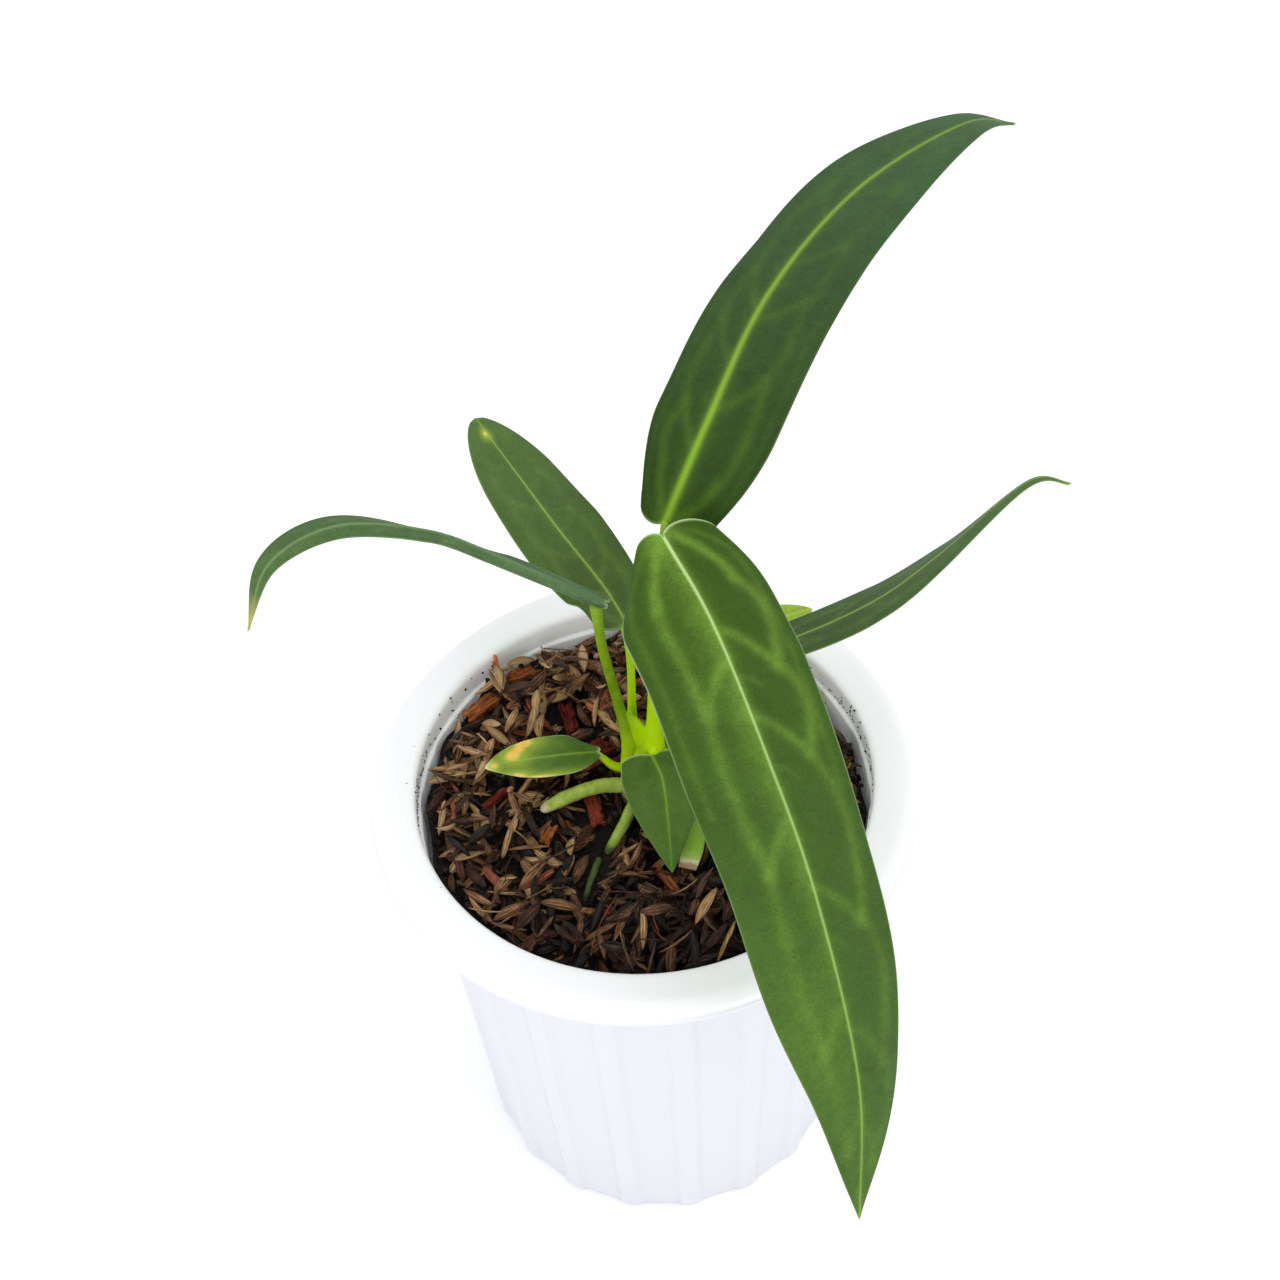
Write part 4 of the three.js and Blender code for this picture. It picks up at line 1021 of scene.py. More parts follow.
def husk_points(length, width, depth, bend, cup, random):
    """One husk: a pointed boat, hollow on one side.

    Gives points and faces, and for each point the way round, the way along and how much paler it is:
    paler in its hollow, and along its rim a painted highlight.
    """
    stations = 11
    t = np.linspace(0, 1, stations)
    swell = HUSK_END + (1 - HUSK_END) * np.sin(math.pi * t ** random.uniform(0.75, 1.2)) ** 0.75
    outer = np.linspace(0, math.pi, 6)
    inner = np.linspace(math.pi, 0, 4)[1:-1]
    y = np.concatenate([np.cos(outer), HUSK_HOLLOW * np.cos(inner)]) * width / 2
    z = np.concatenate([np.sin(outer), cup * np.sin(inner) + HUSK_RIM]) * depth
    bow = random.uniform(-HUSK_BOW, HUSK_BOW) * length * (2 * t - 1) ** 2
    rings = np.zeros((stations, len(y), 3))
    rings[:, :, 0] = ((t - 0.5) * length)[:, None]
    rings[:, :, 1] = bow[:, None] + swell[:, None] * y
    rings[:, :, 2] = (bend * (2 * t - 1) ** 2)[:, None] + swell[:, None] * z - depth / 2
    points, faces = skin(rings)
    around = np.concatenate([outer / math.pi, 1 - inner / math.pi]) * width * 1.3
    run = np.append(np.repeat(t * length, len(y)), [0, length])
    return points, faces, per_station(around, stations), run, per_station(HUSK_PALER_AND_RIM_HIGHLIGHT, stations)


def per_station(numbers, stations):
    """Numbers for the points of a ring, repeated for each ring and closed with two noughts."""
    return np.append(np.tile(numbers, stations), [0, 0])


def splinter_points(length, width, depth, random):
    """One split of bark or husk: a flat prism with ragged ends and a stepped back."""
    stations, sides = 7, 6
    t = np.linspace(0, 1, stations)
    turn = round_turn(sides) + random.uniform(0, 1)
    swell = (0.7 + 0.3 * np.sin(math.pi * t))[:, None]
    rough = 1 + random.uniform(-0.25, 0.25, (stations, sides))
    ragged = random.uniform(-0.07, 0.07, (stations, sides)) * length
    rings = np.zeros((stations, sides, 3))
    rings[:, :, 0] = ((t - 0.5) * length)[:, None] + ragged
    rings[:, :, 1] = swell * rough * np.cos(turn) * width / 2
    rings[:, :, 2] = swell * rough * np.sin(turn) * depth / 2
    rings[:, :, 2] += random.uniform(-0.1, 0.1) * length * ((2 * t - 1) ** 2)[:, None]
    rings[0, :, 1] *= random.uniform(0.2, 0.9)
    rings[-1, :, 1] *= random.uniform(0.2, 0.9)
    points, faces = skin(rings)
    run = np.append(np.repeat(t * length, sides), [0, length])
    return points, faces, per_station(turn * width / 3, stations), run, np.zeros(len(points))


def crumb_points(size, random):
    """One crumb of mix: a rough pebble."""
    rows, sides = 4, 6
    polar = np.linspace(0.35, math.pi - 0.35, rows)
    turn = round_turn(sides)
    radius = size / 2 * (1 + random.uniform(-0.3, 0.3, (rows, sides)))
    rings = np.stack([radius * np.sin(polar)[:, None] * np.cos(turn),
                      radius * np.sin(polar)[:, None] * np.sin(turn) * 0.8,
                      radius * np.cos(polar)[:, None] * 0.7], -1)
    points, faces = skin(rings)
    none = np.zeros(len(points))
    return points, [face[::-1] for face in faces], none, none, none


def make_litter(name, laid, slot, material, smooth):
    """Join laid pieces, each (points, faces, grain, run, paler, shade), in one mesh piece."""
    shapes, faces, grain, run, paler, shades = zip(*laid)
    points, faces = joined(zip(shapes, faces))
    tone = [more + shade for more, shade in zip(paler, shades)]
    values = {"grain": np.concatenate(grain), "length": np.concatenate(run), "tone": np.concatenate(tone)}
    return make_piece(name, points, faces, slot, material, values, smooth)


def along_root(root, end):
    """Points with radii along a root, up to a share of its length."""
    share = np.linspace(0, end, 24)
    centres, _ = along_curve(root["path"], share)
    return [[*c, r] for c, r in zip(centres, between(root["radii"], share))]


def barred_places():
    """Points with radii that the litter doesn't touch: crown, stem, roots, cut leaf, low leaves."""
    places = []
    for height in np.arange(112, 124, 1.5):
        places.append([*CROWN_CENTRE, height, CROWN_ROOM])
        places.append([*STEM_TOP, height - 4, STEM_ROOM])
    for root in ROOTS.values():
        places += along_root(root, 0.96)
    centres, _ = along_curve(STUB["path"], np.linspace(0, 1, 12))
    places += [[*c, CUT_LEAF_ROOM] for c in centres]
    for name in ("small_left", "small_front"):
        centres, _ = along_curve(LEAVES[name]["rib"], np.linspace(0, 1, 12))
        places += [[x, y, z - 1.0, LOW_LEAF_ROOM] for x, y, z in centres]
    return np.array(places)


def shown_places():
    """Points with radii that the litter leaves in sight: roots, end of the cut leaf, chips' middles."""
    places = [place for root in ROOTS.values() for place in along_root(root, 0.92)]
    centres, _ = along_curve(STUB["path"], np.linspace(0.7, 1, 6))
    places += [[*c, 2.0] for c in centres]
    for chip in CHIPS:
        turn = math.radians(chip["turn"])
        length, width, _ = chip["size"]
        x, y, z = chip["at"]
        for t in np.linspace(-0.28, 0.28, 9) * length:
            places.append([x + t * math.cos(turn), y + t * math.sin(turn), z, 0.2 * width])
    return np.array(places)


def husk_shade(random, zone):
    """Shade of a husk; zone goes from -1 at the front right to 1 at the heap."""
    middle, spread = HUSK_SHADES[random.choice(3, p=HUSK_SHARES)]
    return float(np.clip(random.normal(middle, spread) + HEAP_PALER * zone, 0, 1))


def make_mulch(peat):
    """Husks, splinters, crumbs, straw and fibres, heaped on the bed."""
    random = np.random.default_rng(SEED)
    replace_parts(make_bed(peat, random), "husk_mulch")
    heap = Heap(inner_radius(BED_HEIGHT) - WALL_CLEARANCE, barred_places(), shown_places())
    heaps = {row[1]: [] for row in LITTER}

    def drawn(*ranges):
        return tuple(random.uniform(*limits) for limits in ranges)

    def lay(kind, bucket, shape_of, size, shade, at=None, flip=False):
        """Lay a piece at a drawn place, or at a given one, and put it on its heap."""
        radius = heap.reach * math.sqrt(random.uniform(0, 1))
        spot, turn = drawn((0, 2 * math.pi), (0, 2 * math.pi))
        x, y = radius * math.cos(spot), radius * math.sin(spot)
        if at:
            x, y, turn = at
        sink, tilt = LYING[kind]
        pitch, roll = (random.normal(0, spread) if spread else 0.0 for spread in tilt)
        laid = heap.lay(x, y, turn, size, sink, pitch, roll)
        if not laid:
            return
        z, slope, lean = laid
        points, *rest = shape_of(*size)
        if flip:
            points = points * [1, -1, -1]
        tone = shade((y - 0.5 * x) / 50)
        heaps[bucket].append((lie(points, x, y, z, turn, slope, lean), *rest, tone))

    def husk(length, width, depth):
        bend, cup = drawn(HUSK_BEND, HUSK_CUP)
        return husk_points(length, width, depth, bend, cup, random)

    def split(length, width, depth):
        return splinter_points(length, width, depth, random)

    def crumb(length, *_):
        return crumb_points(length, random)

    def fibre(length, *_):
        points, faces, shares, turns = tube(path, FIBRE_RADII, 5, 14)
        return points, faces, turns, shares * length, np.zeros(len(points))

    for _ in range(CRUMBS):
        size = random.uniform(*CRUMB_SIZE)
        lay("crumb", "crumb", crumb, (size, size, size * 0.7), lambda _: random.uniform(*CRUMB_SHADE))
    kinds = np.array(["husk"] * HUSKS + ["shard"] * SHARDS + ["splinter"] * SPLINTERS)
    random.shuffle(kinds)
    for kind in kinds:
        if kind == "husk":
            lengths, widths, depths = HUSK_SIZE
            width, length, depth = drawn(widths, lengths, depths)
            wet = random.uniform() < 0.5
            change = -WET_HUSK_DARKER if wet else DRY_HUSK_PALER
            lay(kind, "dark husk" if wet else "husk", husk, (length, width, width * depth),
                lambda zone: husk_shade(random, zone) + change, flip=random.uniform() < 0.4)
        elif kind == "shard":
            lay(kind, "husk", split, drawn(*SHARD_SIZE), lambda zone: husk_shade(random, zone))
        else:
            lay(kind, "splinter", split, drawn(*SPLINTER_SIZE),
                lambda zone: random.normal(*SPLINTER_SHADE) + SPLINTER_PALER * zone)
    for (x, y), degrees, length, width, shade in SHOWN_HUSKS:
        lay("shown husk", "husk", husk, (length, width, width * SHOWN_HUSK_DEPTH), lambda _: shade,
            at=(x, y, math.radians(degrees)))
    for _ in range(STRAWS):
        lay("straw", "straw", split, (*drawn(*STRAW_SIZE), STRAW_THICKNESS),
            lambda zone: random.uniform(*STRAW_SHADE) + STRAW_PALER * zone)
    for _ in range(FIBRES):
        length = random.uniform(*FIBRE_LENGTH)
        bow = random.uniform(-0.2, 0.2) * length
        path = [(t * length, bow * (1 - 4 * t * t), random.uniform(0.2, 0.8))
                for t in (-0.5, -0.2, 0.15, 0.5)]
        lay("fibre", "splinter", fibre, (length, FIBRE_THICKNESS, FIBRE_THICKNESS),
            lambda _: random.uniform(*FIBRE_SHADE))
    heaps["crumb"] += wall_specks(random)
    for name, bucket, slot, finish, stops, streak, roughness, ridge, smooth in LITTER:
        material = plant_litter(finish, stops, streak, roughness, ridge)
        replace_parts(make_litter(name, heaps[bucket], slot, material, smooth), "husk_mulch")


def wall_specks(random):
    """Specks of mix that stick to the rim's inner wall and to its top, at the left and the right."""
    specks = []
    for _ in range(WALL_SPECKS):
        size = random.uniform(*WALL_SPECK_SIZE) + WALL_SPECK_COARSER * random.uniform() ** 4
        middle = WALL_SPECK_SIDES[random.choice(2, p=WALL_SPECK_SHARES)]
        turn = math.radians(random.normal(middle, WALL_SPECK_SPREAD))
        radius = STEP_RADIUS - 0.1
        height = POT_HEIGHT - STEP_DROP + 1.0 + WALL_SPECK_REACH * random.uniform() ** 2
        if random.uniform() < RIM_SPECK_SHARE:
            size *= RIM_SPECK_SMALLER
            radius, height = random.uniform(STEP_RADIUS + 1.0, RIM_CREST_RADIUS - 1.0), POT_HEIGHT
        points, *rest = crumb_points(size, random)
        place = [radius * math.cos(turn), radius * math.sin(turn), height]
        specks.append((points * [0.8, 0.8, 1.2] + place, *rest, random.uniform(*WALL_SPECK_SHADE)))
    return specks


def chip_points(size, narrow, random):
    """One bark chip: a bundle of fibres with torn ends; its points and faces, and those of its streaks."""
    length, width, thickness = size
    t = np.linspace(-1, 1, CHIP_STATIONS)
    across = np.linspace(-1, 1, CHIP_FIBRES)
    rough = (CHIP_STATIONS, CHIP_FIBRES)
    steps = np.cumsum(random.normal(0, CHIP_TORN_STEP, (2, CHIP_FIBRES)), axis=1)
    torn = 1 - CHIP_TORN * np.abs(random.normal(0, 1, (2, CHIP_FIBRES))) - np.abs(steps)
    torn = np.clip(torn, CHIP_LEAST, 1.0)
    x = np.where(t[:, None] < 0, t[:, None] * torn[0], t[:, None] * torn[1]) * length / 2
    nicks = [np.interp(t, np.linspace(-1, 1, 10), np.abs(random.normal(0, 1, 10))) for _ in range(2)]
    worn = 1 - CHIP_NICKS * np.where(across[None, :] < 0, nicks[0][:, None], nicks[1][:, None])
    y = across * np.maximum(worn, CHIP_LEAST) * width / 2 * narrow
    level = np.cumsum(random.normal(0, CHIP_STEP, CHIP_FIBRES)) + CHIP_ROUGH * random.normal(0, 1, rough)
    back = np.clip(0.5 + level - level.mean(), *CHIP_HALF) * thickness
    front = -np.clip(0.5 + CHIP_UNDER_ROUGH * random.normal(0, 1, rough), *CHIP_HALF) * thickness
    rings = np.concatenate([np.stack([x, y, back], -1), np.stack([x, y, front], -1)[:, ::-1]], 1)
    points, faces = skin(rings)
    grain, run = (np.append(np.concatenate([side, side[:, ::-1]], 1), [0, 0]) for side in (y, x))
    return points, [face[::-1] for face in faces], grain, run


def make_chips():
    """Bark chips, one for each solid."""
    random = np.random.default_rng(SEED + 1)
    finishes = {
        "orange_bark": plant_litter("orange_split_bark", ORANGE_STOPS, CHIP_STREAK,
                                    roughness=0.55, ridge=0.0),
        "red_bark": plant_litter("red_split_bark", RED_STOPS, CHIP_STREAK, roughness=0.5, ridge=0.0),
    }
    for k, chip in enumerate(CHIPS):
        node = f"bark_chip_{k + 1}"
        slot = SLOTS[node]
        narrow = RED_CHIP_WIDTH if slot == "red_bark" else 1.0
        points, faces, grain, run = chip_points(chip["size"], narrow, random)
        pitch, yaw = math.radians(chip["tilt"]), math.radians(chip["turn"])
        placed = lie(points, *chip["at"], yaw, -math.tan(pitch), 0)
        values = {"grain": grain, "length": run, "tone": random.uniform(*CHIP_SHADE)}
        piece = make_piece(f"split_bark_{k + 1}", placed, faces, slot, finishes[slot], values, smooth=False)
        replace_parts(piece, node)


peat = damp_peat()
frame["nodes"]["potting_mix"].data.materials.clear()
frame["nodes"]["potting_mix"].data.materials.append(peat)
make_mulch(peat)
make_chips()


# Leaves


def half_width(leaf, s, side):
    """Width from the midrib to the edge, at a share of the length."""
    base = leaf["base"] * (1 + side * leaf["lean"])
    rise = base + (1 - base) * np.sin(math.pi / 2 * np.minimum(s / leaf["widest"], 1))
    past = np.clip((s - leaf["widest"]) / (1 - leaf["widest"]), 0, 1)
    fall = np.cos(math.pi / 2 * past ** leaf["belly"]) ** leaf["taper"]
    return leaf["half"] * rise * fall * (1 + side * between(leaf["skew"], s))


def blade_surface(leaf, s, u):
    """Middle surface of a blade on a grid of s (notch to tip) and u (edge to edge), and its length."""
    out, side = np.abs(u), np.sign(u)
    dense = np.linspace(0, 1, BLADE_LINE_STEPS + 1)
    line, length = along_curve(leaf["rib"], dense)
    direction = unit(np.gradient(line, axis=0))
    behind_notch = np.clip(1 - (out / LOBE_CREST - 1) ** 2, 0, 1) ** 0.5
    towards_edge = np.clip(1 - ((out - LOBE_CREST) / (1 - LOBE_CREST)) ** 2, 0, 1) ** 0.72
    lobe = np.where(out < LOBE_CREST, behind_notch, towards_edge)
    along = s - leaf["lobe"] / length * lobe * (1 - s) ** 4
    inside = np.clip(along, 0, 1)
    tangent = read_line(inside, dense, direction)
    point = read_line(inside, dense, line) + tangent * ((along - inside) * length)[..., None]
    face = np.asarray(leaf["face"], float)
    normal = read_line(s, np.linspace(0, 1, len(face)), face)
    normal = unit(normal - (normal * tangent).sum(-1, keepdims=True) * tangent)
    across = np.cross(normal, tangent)
    width = half_width(leaf, s, side)
    angle = np.radians(between(leaf["fold"], s) + between(leaf["curl"], s) * out / 2)
    ripple = np.sin(6 * math.pi * s + 1.9 * side) * out ** 3 * np.minimum(1, 1.2 * width / leaf["half"])
    rise = out * width * np.sin(angle) + leaf["wave"] * ripple
    radius = leaf.get("roll")
    if radius:
        behind = np.maximum(0, -along) * length * (side < 0)
        rise = rise - radius * (1 - np.cos(behind / radius))
        point = point + tangent * (behind - radius * np.sin(behind / radius))[..., None]
    shift = side * out * width * np.cos(angle)
    return point + across * shift[..., None] + normal * rise[..., None], length


def vein_lines(leaf, length):
    """Side veins as lines of (distance along, distance across) with a width and a strength.

    Each side has a basal vein from the notch, which runs on near the edge as the gathering vein,
    and side veins that leave the midrib and bow forward until they join it.
    """
    lines = []
    gathers, bulges = leaf.get("gather", USUAL_GATHER), leaf.get("bulge", USUAL_BULGE)
    forward, more_forward = VEIN_FORWARD
    (broad, slow), (fine, fast) = GATHER_WANDER
    outer, outer_start, outer_end = OUTER_VEIN
    for side, starts, gather, bulge in zip((-1, 1), leaf["veins"], gathers, bulges):
        ends = [s + forward + more_forward * (1 - s) for s in starts]
        joints = [GATHER_ENDS[0], *ends, GATHER_ENDS[1]]
        s = np.linspace(0, joints[0], 14)
        u = gather * np.sin(math.pi / 2 * (s / joints[0])) ** 0.8
        lines.append((s, side * u, *VEINS["basal"]))
        # The gathering vein bows out from joint to joint.
        for here, there in zip(joints, joints[1:]):
            part = np.linspace(0, 1, 24)
            s = here + (there - here) * part
            wander = broad * np.sin(slow * s + side) + fine * np.sin(fast * s)
            u = gather + bulge * np.sin(math.pi * part ** 0.8) + wander
            lines.append((s, side * u, *VEINS["gathering"]))
        # Side veins, each with a weak vein beside it that fades halfway.
        for start, end in zip(starts, ends):
            part = np.linspace(0, 1, 18)
            s = start + (end - start) * part ** 1.35
            lines.append((s, side * gather * part, *VEINS["side"]))
            s = start + WEAK_VEIN_AHEAD + (end - start) * part[:9] ** 1.5
            lines.append((s, side * gather * part[:9], *VEINS["weak"]))
        # An outer vein near the edge of the base.
        s = np.linspace(0, outer_end, 30)
        u = outer * np.sin(math.pi / 2 * np.minimum(s / outer_start, 1)) ** 0.7
        lines.append((s, side * u, *VEINS["outer"]))
    laid = []
    for s, u, width, strength in lines:
        s = np.clip(s, 0, 0.999)
        across = u * half_width(leaf, s, np.sign(u))
        laid.append((np.stack([s * length, across], -1), width, strength, s))
    return laid


def vein_mask(leaf, length, s, u):
    """Strength of the side veins (0 to 1) and of their thin cores on the grid, finer on small leaves."""
    spots = np.stack([s * length, u * half_width(leaf, s, np.sign(u))], -1)
    soft, core = np.zeros(s.shape), np.zeros(s.shape)
    finer = 0.45 + 0.55 * leaf["half"] / FULL_HALF_WIDTH
    for line, width, strength, shares in vein_lines(leaf, length):
        nearest = np.full(s.shape, 1e9)
        for a, b in zip(line, line[1:]):
            reach = b - a
            t = np.clip(((spots - a) @ reach) / max(reach @ reach, 1e-9), 0, 1)
            nearest = np.minimum(nearest, np.linalg.norm(spots - a - t[..., None] * reach, axis=-1))
        fade = strength * np.clip(1.1 - 1.1 * shares.mean(), 0.25, 1)
        wide = width * finer
        soft = soft + fade * np.exp(-(nearest / (1.5 * wide)) ** 2) * (1 - soft)
        core = np.maximum(core, fade * np.exp(-(nearest / (0.4 * wide)) ** 2))
    return soft, core


def blade_faces(rows, columns):
    """Faces of a blade: upper and lower skin, the walls round them and the closed tip."""
    count = rows * columns
    r = np.arange(rows - 1)[:, None] * columns
    k = np.arange(columns - 1)
    upper = np.stack([r + k, r + k + 1, r + columns + k + 1, r + columns + k], -1).reshape(-1, 4)
    left = np.arange(rows - 1) * columns
    right = left + columns - 1
    walls = [
        np.stack([left, left + columns, left + columns + count, left + count], -1),
        np.stack([right + columns, right, right + count, right + columns + count], -1),
        np.stack([k + 1, k, k + count, k + 1 + count], -1)]
    faces = np.concatenate([upper, upper[:, ::-1] + count, *walls]).tolist()
    last, tip = count - columns, 2 * count
    faces += [(last + i, last + i + 1, tip) for i in range(columns - 1)]
    faces += [(count + last + i + 1, count + last + i, tip) for i in range(columns - 1)]
    return faces + [(last + count, last, tip), (count - 1, 2 * count - 1, tip)]


def make_blade(name, leaf, slot, material, patches=()):
    """One leaf blade: veined upper face, ribbed under face and a thin margin."""
    share = np.linspace(0, 1, leaf["rows"] + 1)[:-1]
    s = (0.35 * share + 0.65 * share ** 1.6)[:, None] * 0.9985
    v = np.linspace(-1, 1, 2 * (leaf["columns"] // 2) + 1)[None, :]
    u = np.sign(v) * (0.25 * np.abs(v) + 0.75 * (1 - np.cos(math.pi * np.abs(v))) / 2)
    s, u = np.broadcast_arrays(s, u)
    middle, length = blade_surface(leaf, s, u)
    normal = unit(np.cross(np.gradient(middle, axis=1), np.gradient(middle, axis=0)))
    if normal.reshape(-1, 3).mean(0) @ np.asarray(leaf["face"], float).mean(0) < 0:
        normal = -normal
    out = np.abs(u)
    width = half_width(leaf, s, np.sign(u))
    reach = out * width
    soft, core = vein_mask(leaf, length, s, u)
    rib_width = between(leaf.get("rib_mm", USUAL_MIDRIB), s)
    rib = np.exp(-(reach / rib_width) ** 2)
    thick = BLADE_THICKNESS - EDGE_THINNING * out ** 4
    pillow = (1 - soft) * np.sin(math.pi * np.clip(out, 0, 1)) ** 0.5
    quilt = QUILT_RISE * leaf["half"] / FULL_HALF_WIDTH * pillow
    above = thick / 2 + quilt - VEIN_FURROW * core + MIDRIB_RISE * rib * (1 - 0.6 * s)
    keel = KEEL_RISE * (1 - 0.8 * s) * np.exp(-(reach / (1.3 * rib_width)) ** 2)
    below = thick / 2 - quilt + VEIN_RIDGE * core + keel
    tip, _ = along_curve(leaf["rib"], np.array([1.0]))
    points = [(middle + normal * above[..., None]).reshape(-1, 3),
              (middle - normal * below[..., None]).reshape(-1, 3), tip]

    # Paler band round the midrib near the notch, and where the front leaf turns down.
    spread = np.where(u < 0, *leaf.get("glow", USUAL_GLOW))
    glow = 0.75 * np.exp(-(reach / (spread * (1 - 0.6 * s))) ** 1.5) * np.clip(1.25 - 1.3 * s, 0, 1)
    glow = np.maximum(glow, np.exp(-(reach / (2.6 * rib_width)) ** 1.5) * (1 - 0.6 * s))
    pale = np.clip((s - 0.5) / 0.2, 0, 1) * np.clip((0.95 - s) / 0.2, 0, 1) * np.clip(-u / 0.15, 0, 1)
    glow = np.maximum(glow, leaf.get("pale_low", 0) * pale)

    # Margin, strongest at the left of the base.
    to_side = np.minimum((1 - out) * width + 0.02, (1 - s) * length * 0.6 + 0.02)
    edge = np.exp(-(to_side / MARGIN_WIDTH) ** 2) * np.where(u < 0, 0.9 - 0.75 * np.minimum(1, 2.4 * s), 0.4)
    edge = np.maximum(edge, 0.8 * np.exp(-(s * length / 0.4) ** 2) * np.clip(out / 0.05, 0, 1))

    patch, halo, under = np.zeros(s.shape), np.zeros(s.shape), np.zeros(s.shape)
    for patch_s, patch_u, reach_s, reach_u in patches:
        far = ((s - patch_s) / reach_s) ** 2 + ((u - patch_u) / reach_u) ** 2
        patch = np.maximum(patch, np.exp(-far))
        halo = np.maximum(halo, np.exp(-far / 5))
    faces = {"rib": (rib * (1 - 0.5 * s), rib, 0), "glow": (glow, glow, 0), "vein": (soft, soft * 0.6, 0),
             "edge": (edge, edge, 1), "share": (s, s, 1), "under": (under, under + 1, 0),
             "patch": (patch, patch, 0), "halo": (halo, halo, 0)}
    values = {key: np.concatenate([upper.ravel(), lower.ravel(), [at_tip]])
              for key, (upper, lower, at_tip) in faces.items()}
    piece = make_piece(f"{name}_leaf_blade", np.vstack(points), blade_faces(*s.shape), slot, material, values)
    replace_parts(piece, f"blade_{name}")


def leaf_skin(name, near, far, vein, ribs, margin, under, veins, glow, patch="dcae4c", old_tip=None):
    """Living leaf: a fine velvet of cells that mutes the shine, with paler veins in the same skin.

    The skin goes from the near colour at the notch to the far colour at the tip, the midrib from
    the first to the second colour of ribs. veins and glow say how strongly those show.
    """
    material, tree, shader, place = new_material(name, IOR=1.42, Specular_IOR_Level=0.12, Sheen_Weight=0.03,
                                                 Sheen_Roughness=0.5)
    read = {key: add(tree, "Attribute", out="Fac", attribute_name=key)
            for key in ("rib", "glow", "vein", "edge", "share", "under", "patch", "halo")}
    clouds = add(tree, "TexNoise", {"Vector": place, "Scale": scale_of(LEAF_CLOUD), "Detail": 3.0,
                                    "Roughness": 0.6})
    pile = add(tree, "TexNoise", {"Vector": place, "Scale": scale_of(LEAF_PILE), "Detail": 4.0,
                                  "Roughness": 0.75})
    cells = add(tree, "TexNoise", {"Vector": place, "Scale": scale_of(LEAF_CELL), "Detail": 1.0})
    net = add(tree, "TexVoronoi", {"Vector": place, "Scale": scale_of(LEAF_NET)}, feature="DISTANCE_TO_EDGE")
    mixed = add(tree, "Mix", {0: 0.5, 2: clouds, 3: pile})
    fine = add(tree, "Mix", {0: 0.4, 2: mixed, 3: cells})
    shade = add(tree, "MapRange", {"Value": fine, "From Min": 0.36, "From Max": 0.64, "To Min": 0.78,
                                   "To Max": 1.22})
    uneven = add(tree, "MapRange", {"Value": mixed, "From Min": 0.35, "From Max": 0.65, "To Min": 0.8,
                                    "To Max": 1.1})
    colour = painted(tree, near, [(far, read["share"])])
    for key, amount in (("vein", veins), ("glow", glow)):
        strength = add(tree, "Math", {0: read[key], 1: amount}, operation="MULTIPLY")
        strength = add(tree, "Math", {0: strength, 1: uneven}, operation="MULTIPLY")
        colour = painted(tree, colour, [(vein, strength)])
    colour = add(tree, "VectorMath", {0: colour, "Scale": shade}, operation="SCALE")
    rib = painted(tree, ribs[0], [(ribs[1], read["share"])])
    rib_share = add(tree, "Math", {0: read["rib"], 1: 0.9}, operation="MULTIPLY")
    colour = painted(tree, colour, [(rib, rib_share)])
    if old_tip:
        near_tip = add(tree, "MapRange", {"Value": read["share"], "From Min": 0.9, "From Max": 0.99})
        colour = painted(tree, colour, [(old_tip, near_tip)])

    # Old patches: a yellow-green halo, a ragged yellow patch and bleached flecks in it.
    halo = add(tree, "Math", {0: read["halo"], 1: 0.85}, operation="MULTIPLY")
    frayed = add(tree, "Math", {0: mixed, 1: 1.1}, operation="MULTIPLY")
    ragged = add(tree, "Math", {0: read["patch"], 1: frayed}, operation="SUBTRACT")
    ragged = add(tree, "MapRange", {"Value": ragged, "From Min": -0.25, "From Max": 0.25})
    bleached = add(tree, "MapRange", {"Value": pile, "From Min": 0.44, "From Max": 0.6, "To Max": 0.6})
    dry = painted(tree, patch, [("e2cc80", bleached)])
    colour = painted(tree, colour, [("9cb040", halo), (dry, ragged), (margin, read["edge"]),
                                    (under, read["under"])])
    height = add(tree, "Math", {0: net, 1: 0.5, 2: pile}, operation="MULTIPLY_ADD")
    feed(shader, {
        "Base Color": colour,
        "Roughness": add(tree, "MapRange", {"Value": fine, "To Min": 0.5, "To Max": 0.66}),
        "Normal": add(tree, "Bump", {"Strength": 0.3, "Distance": 0.15 * MM, "Height": height}),
    })
    return material


def stalk_colour(tree, place, stops):
    """Colour of a stalk by its height above the mix, under faint paler spots; and the spots."""
    height = add(tree, "SeparateXYZ", {"Vector": place}, out="Z")
    up = add(tree, "MapRange", {"Value": height, "From Min": STALK_LOW * MM, "From Max": STALK_HIGH * MM})
    colour = add(tree, "ValToRGB", {"Fac": up}, stops=stops)
    spots = add(tree, "TexNoise", {"Vector": place, "Scale": scale_of(STALK_SPOT), "Detail": 3.0})
    faint = add(tree, "MapRange", {"Value": spots, "From Min": 0.35, "From Max": 0.75, "To Max": 0.14})
    return painted(tree, colour, [("c4da60", faint)]), spots


def stalk_skin(name, stops):
    """Smooth living stalk: waxy, faintly ribbed along its length."""
    material, tree, shader, place = new_material(name, Roughness=0.42, IOR=1.42, Specular_IOR_Level=0.12)
    around = add(tree, "Attribute", out="Fac", attribute_name="around")
    turns = add(tree, "Math", {0: around, 1: 2 * math.pi * STALK_RIBS}, operation="MULTIPLY")
    ribs = add(tree, "Math", {0: turns}, operation="SINE")
    colour, _ = stalk_colour(tree, place, stops)
    feed(shader, {
        "Base Color": colour,
        "Normal": add(tree, "Bump", {"Strength": 0.1, "Distance": 0.1 * MM, "Height": ribs}),
    })
    return material


def flared(flare, run):
    """How much thicker a stalk is towards its foot in the crown."""
    return flare * np.exp(-(run / FLARE_LENGTH) ** FLARE_FALL)


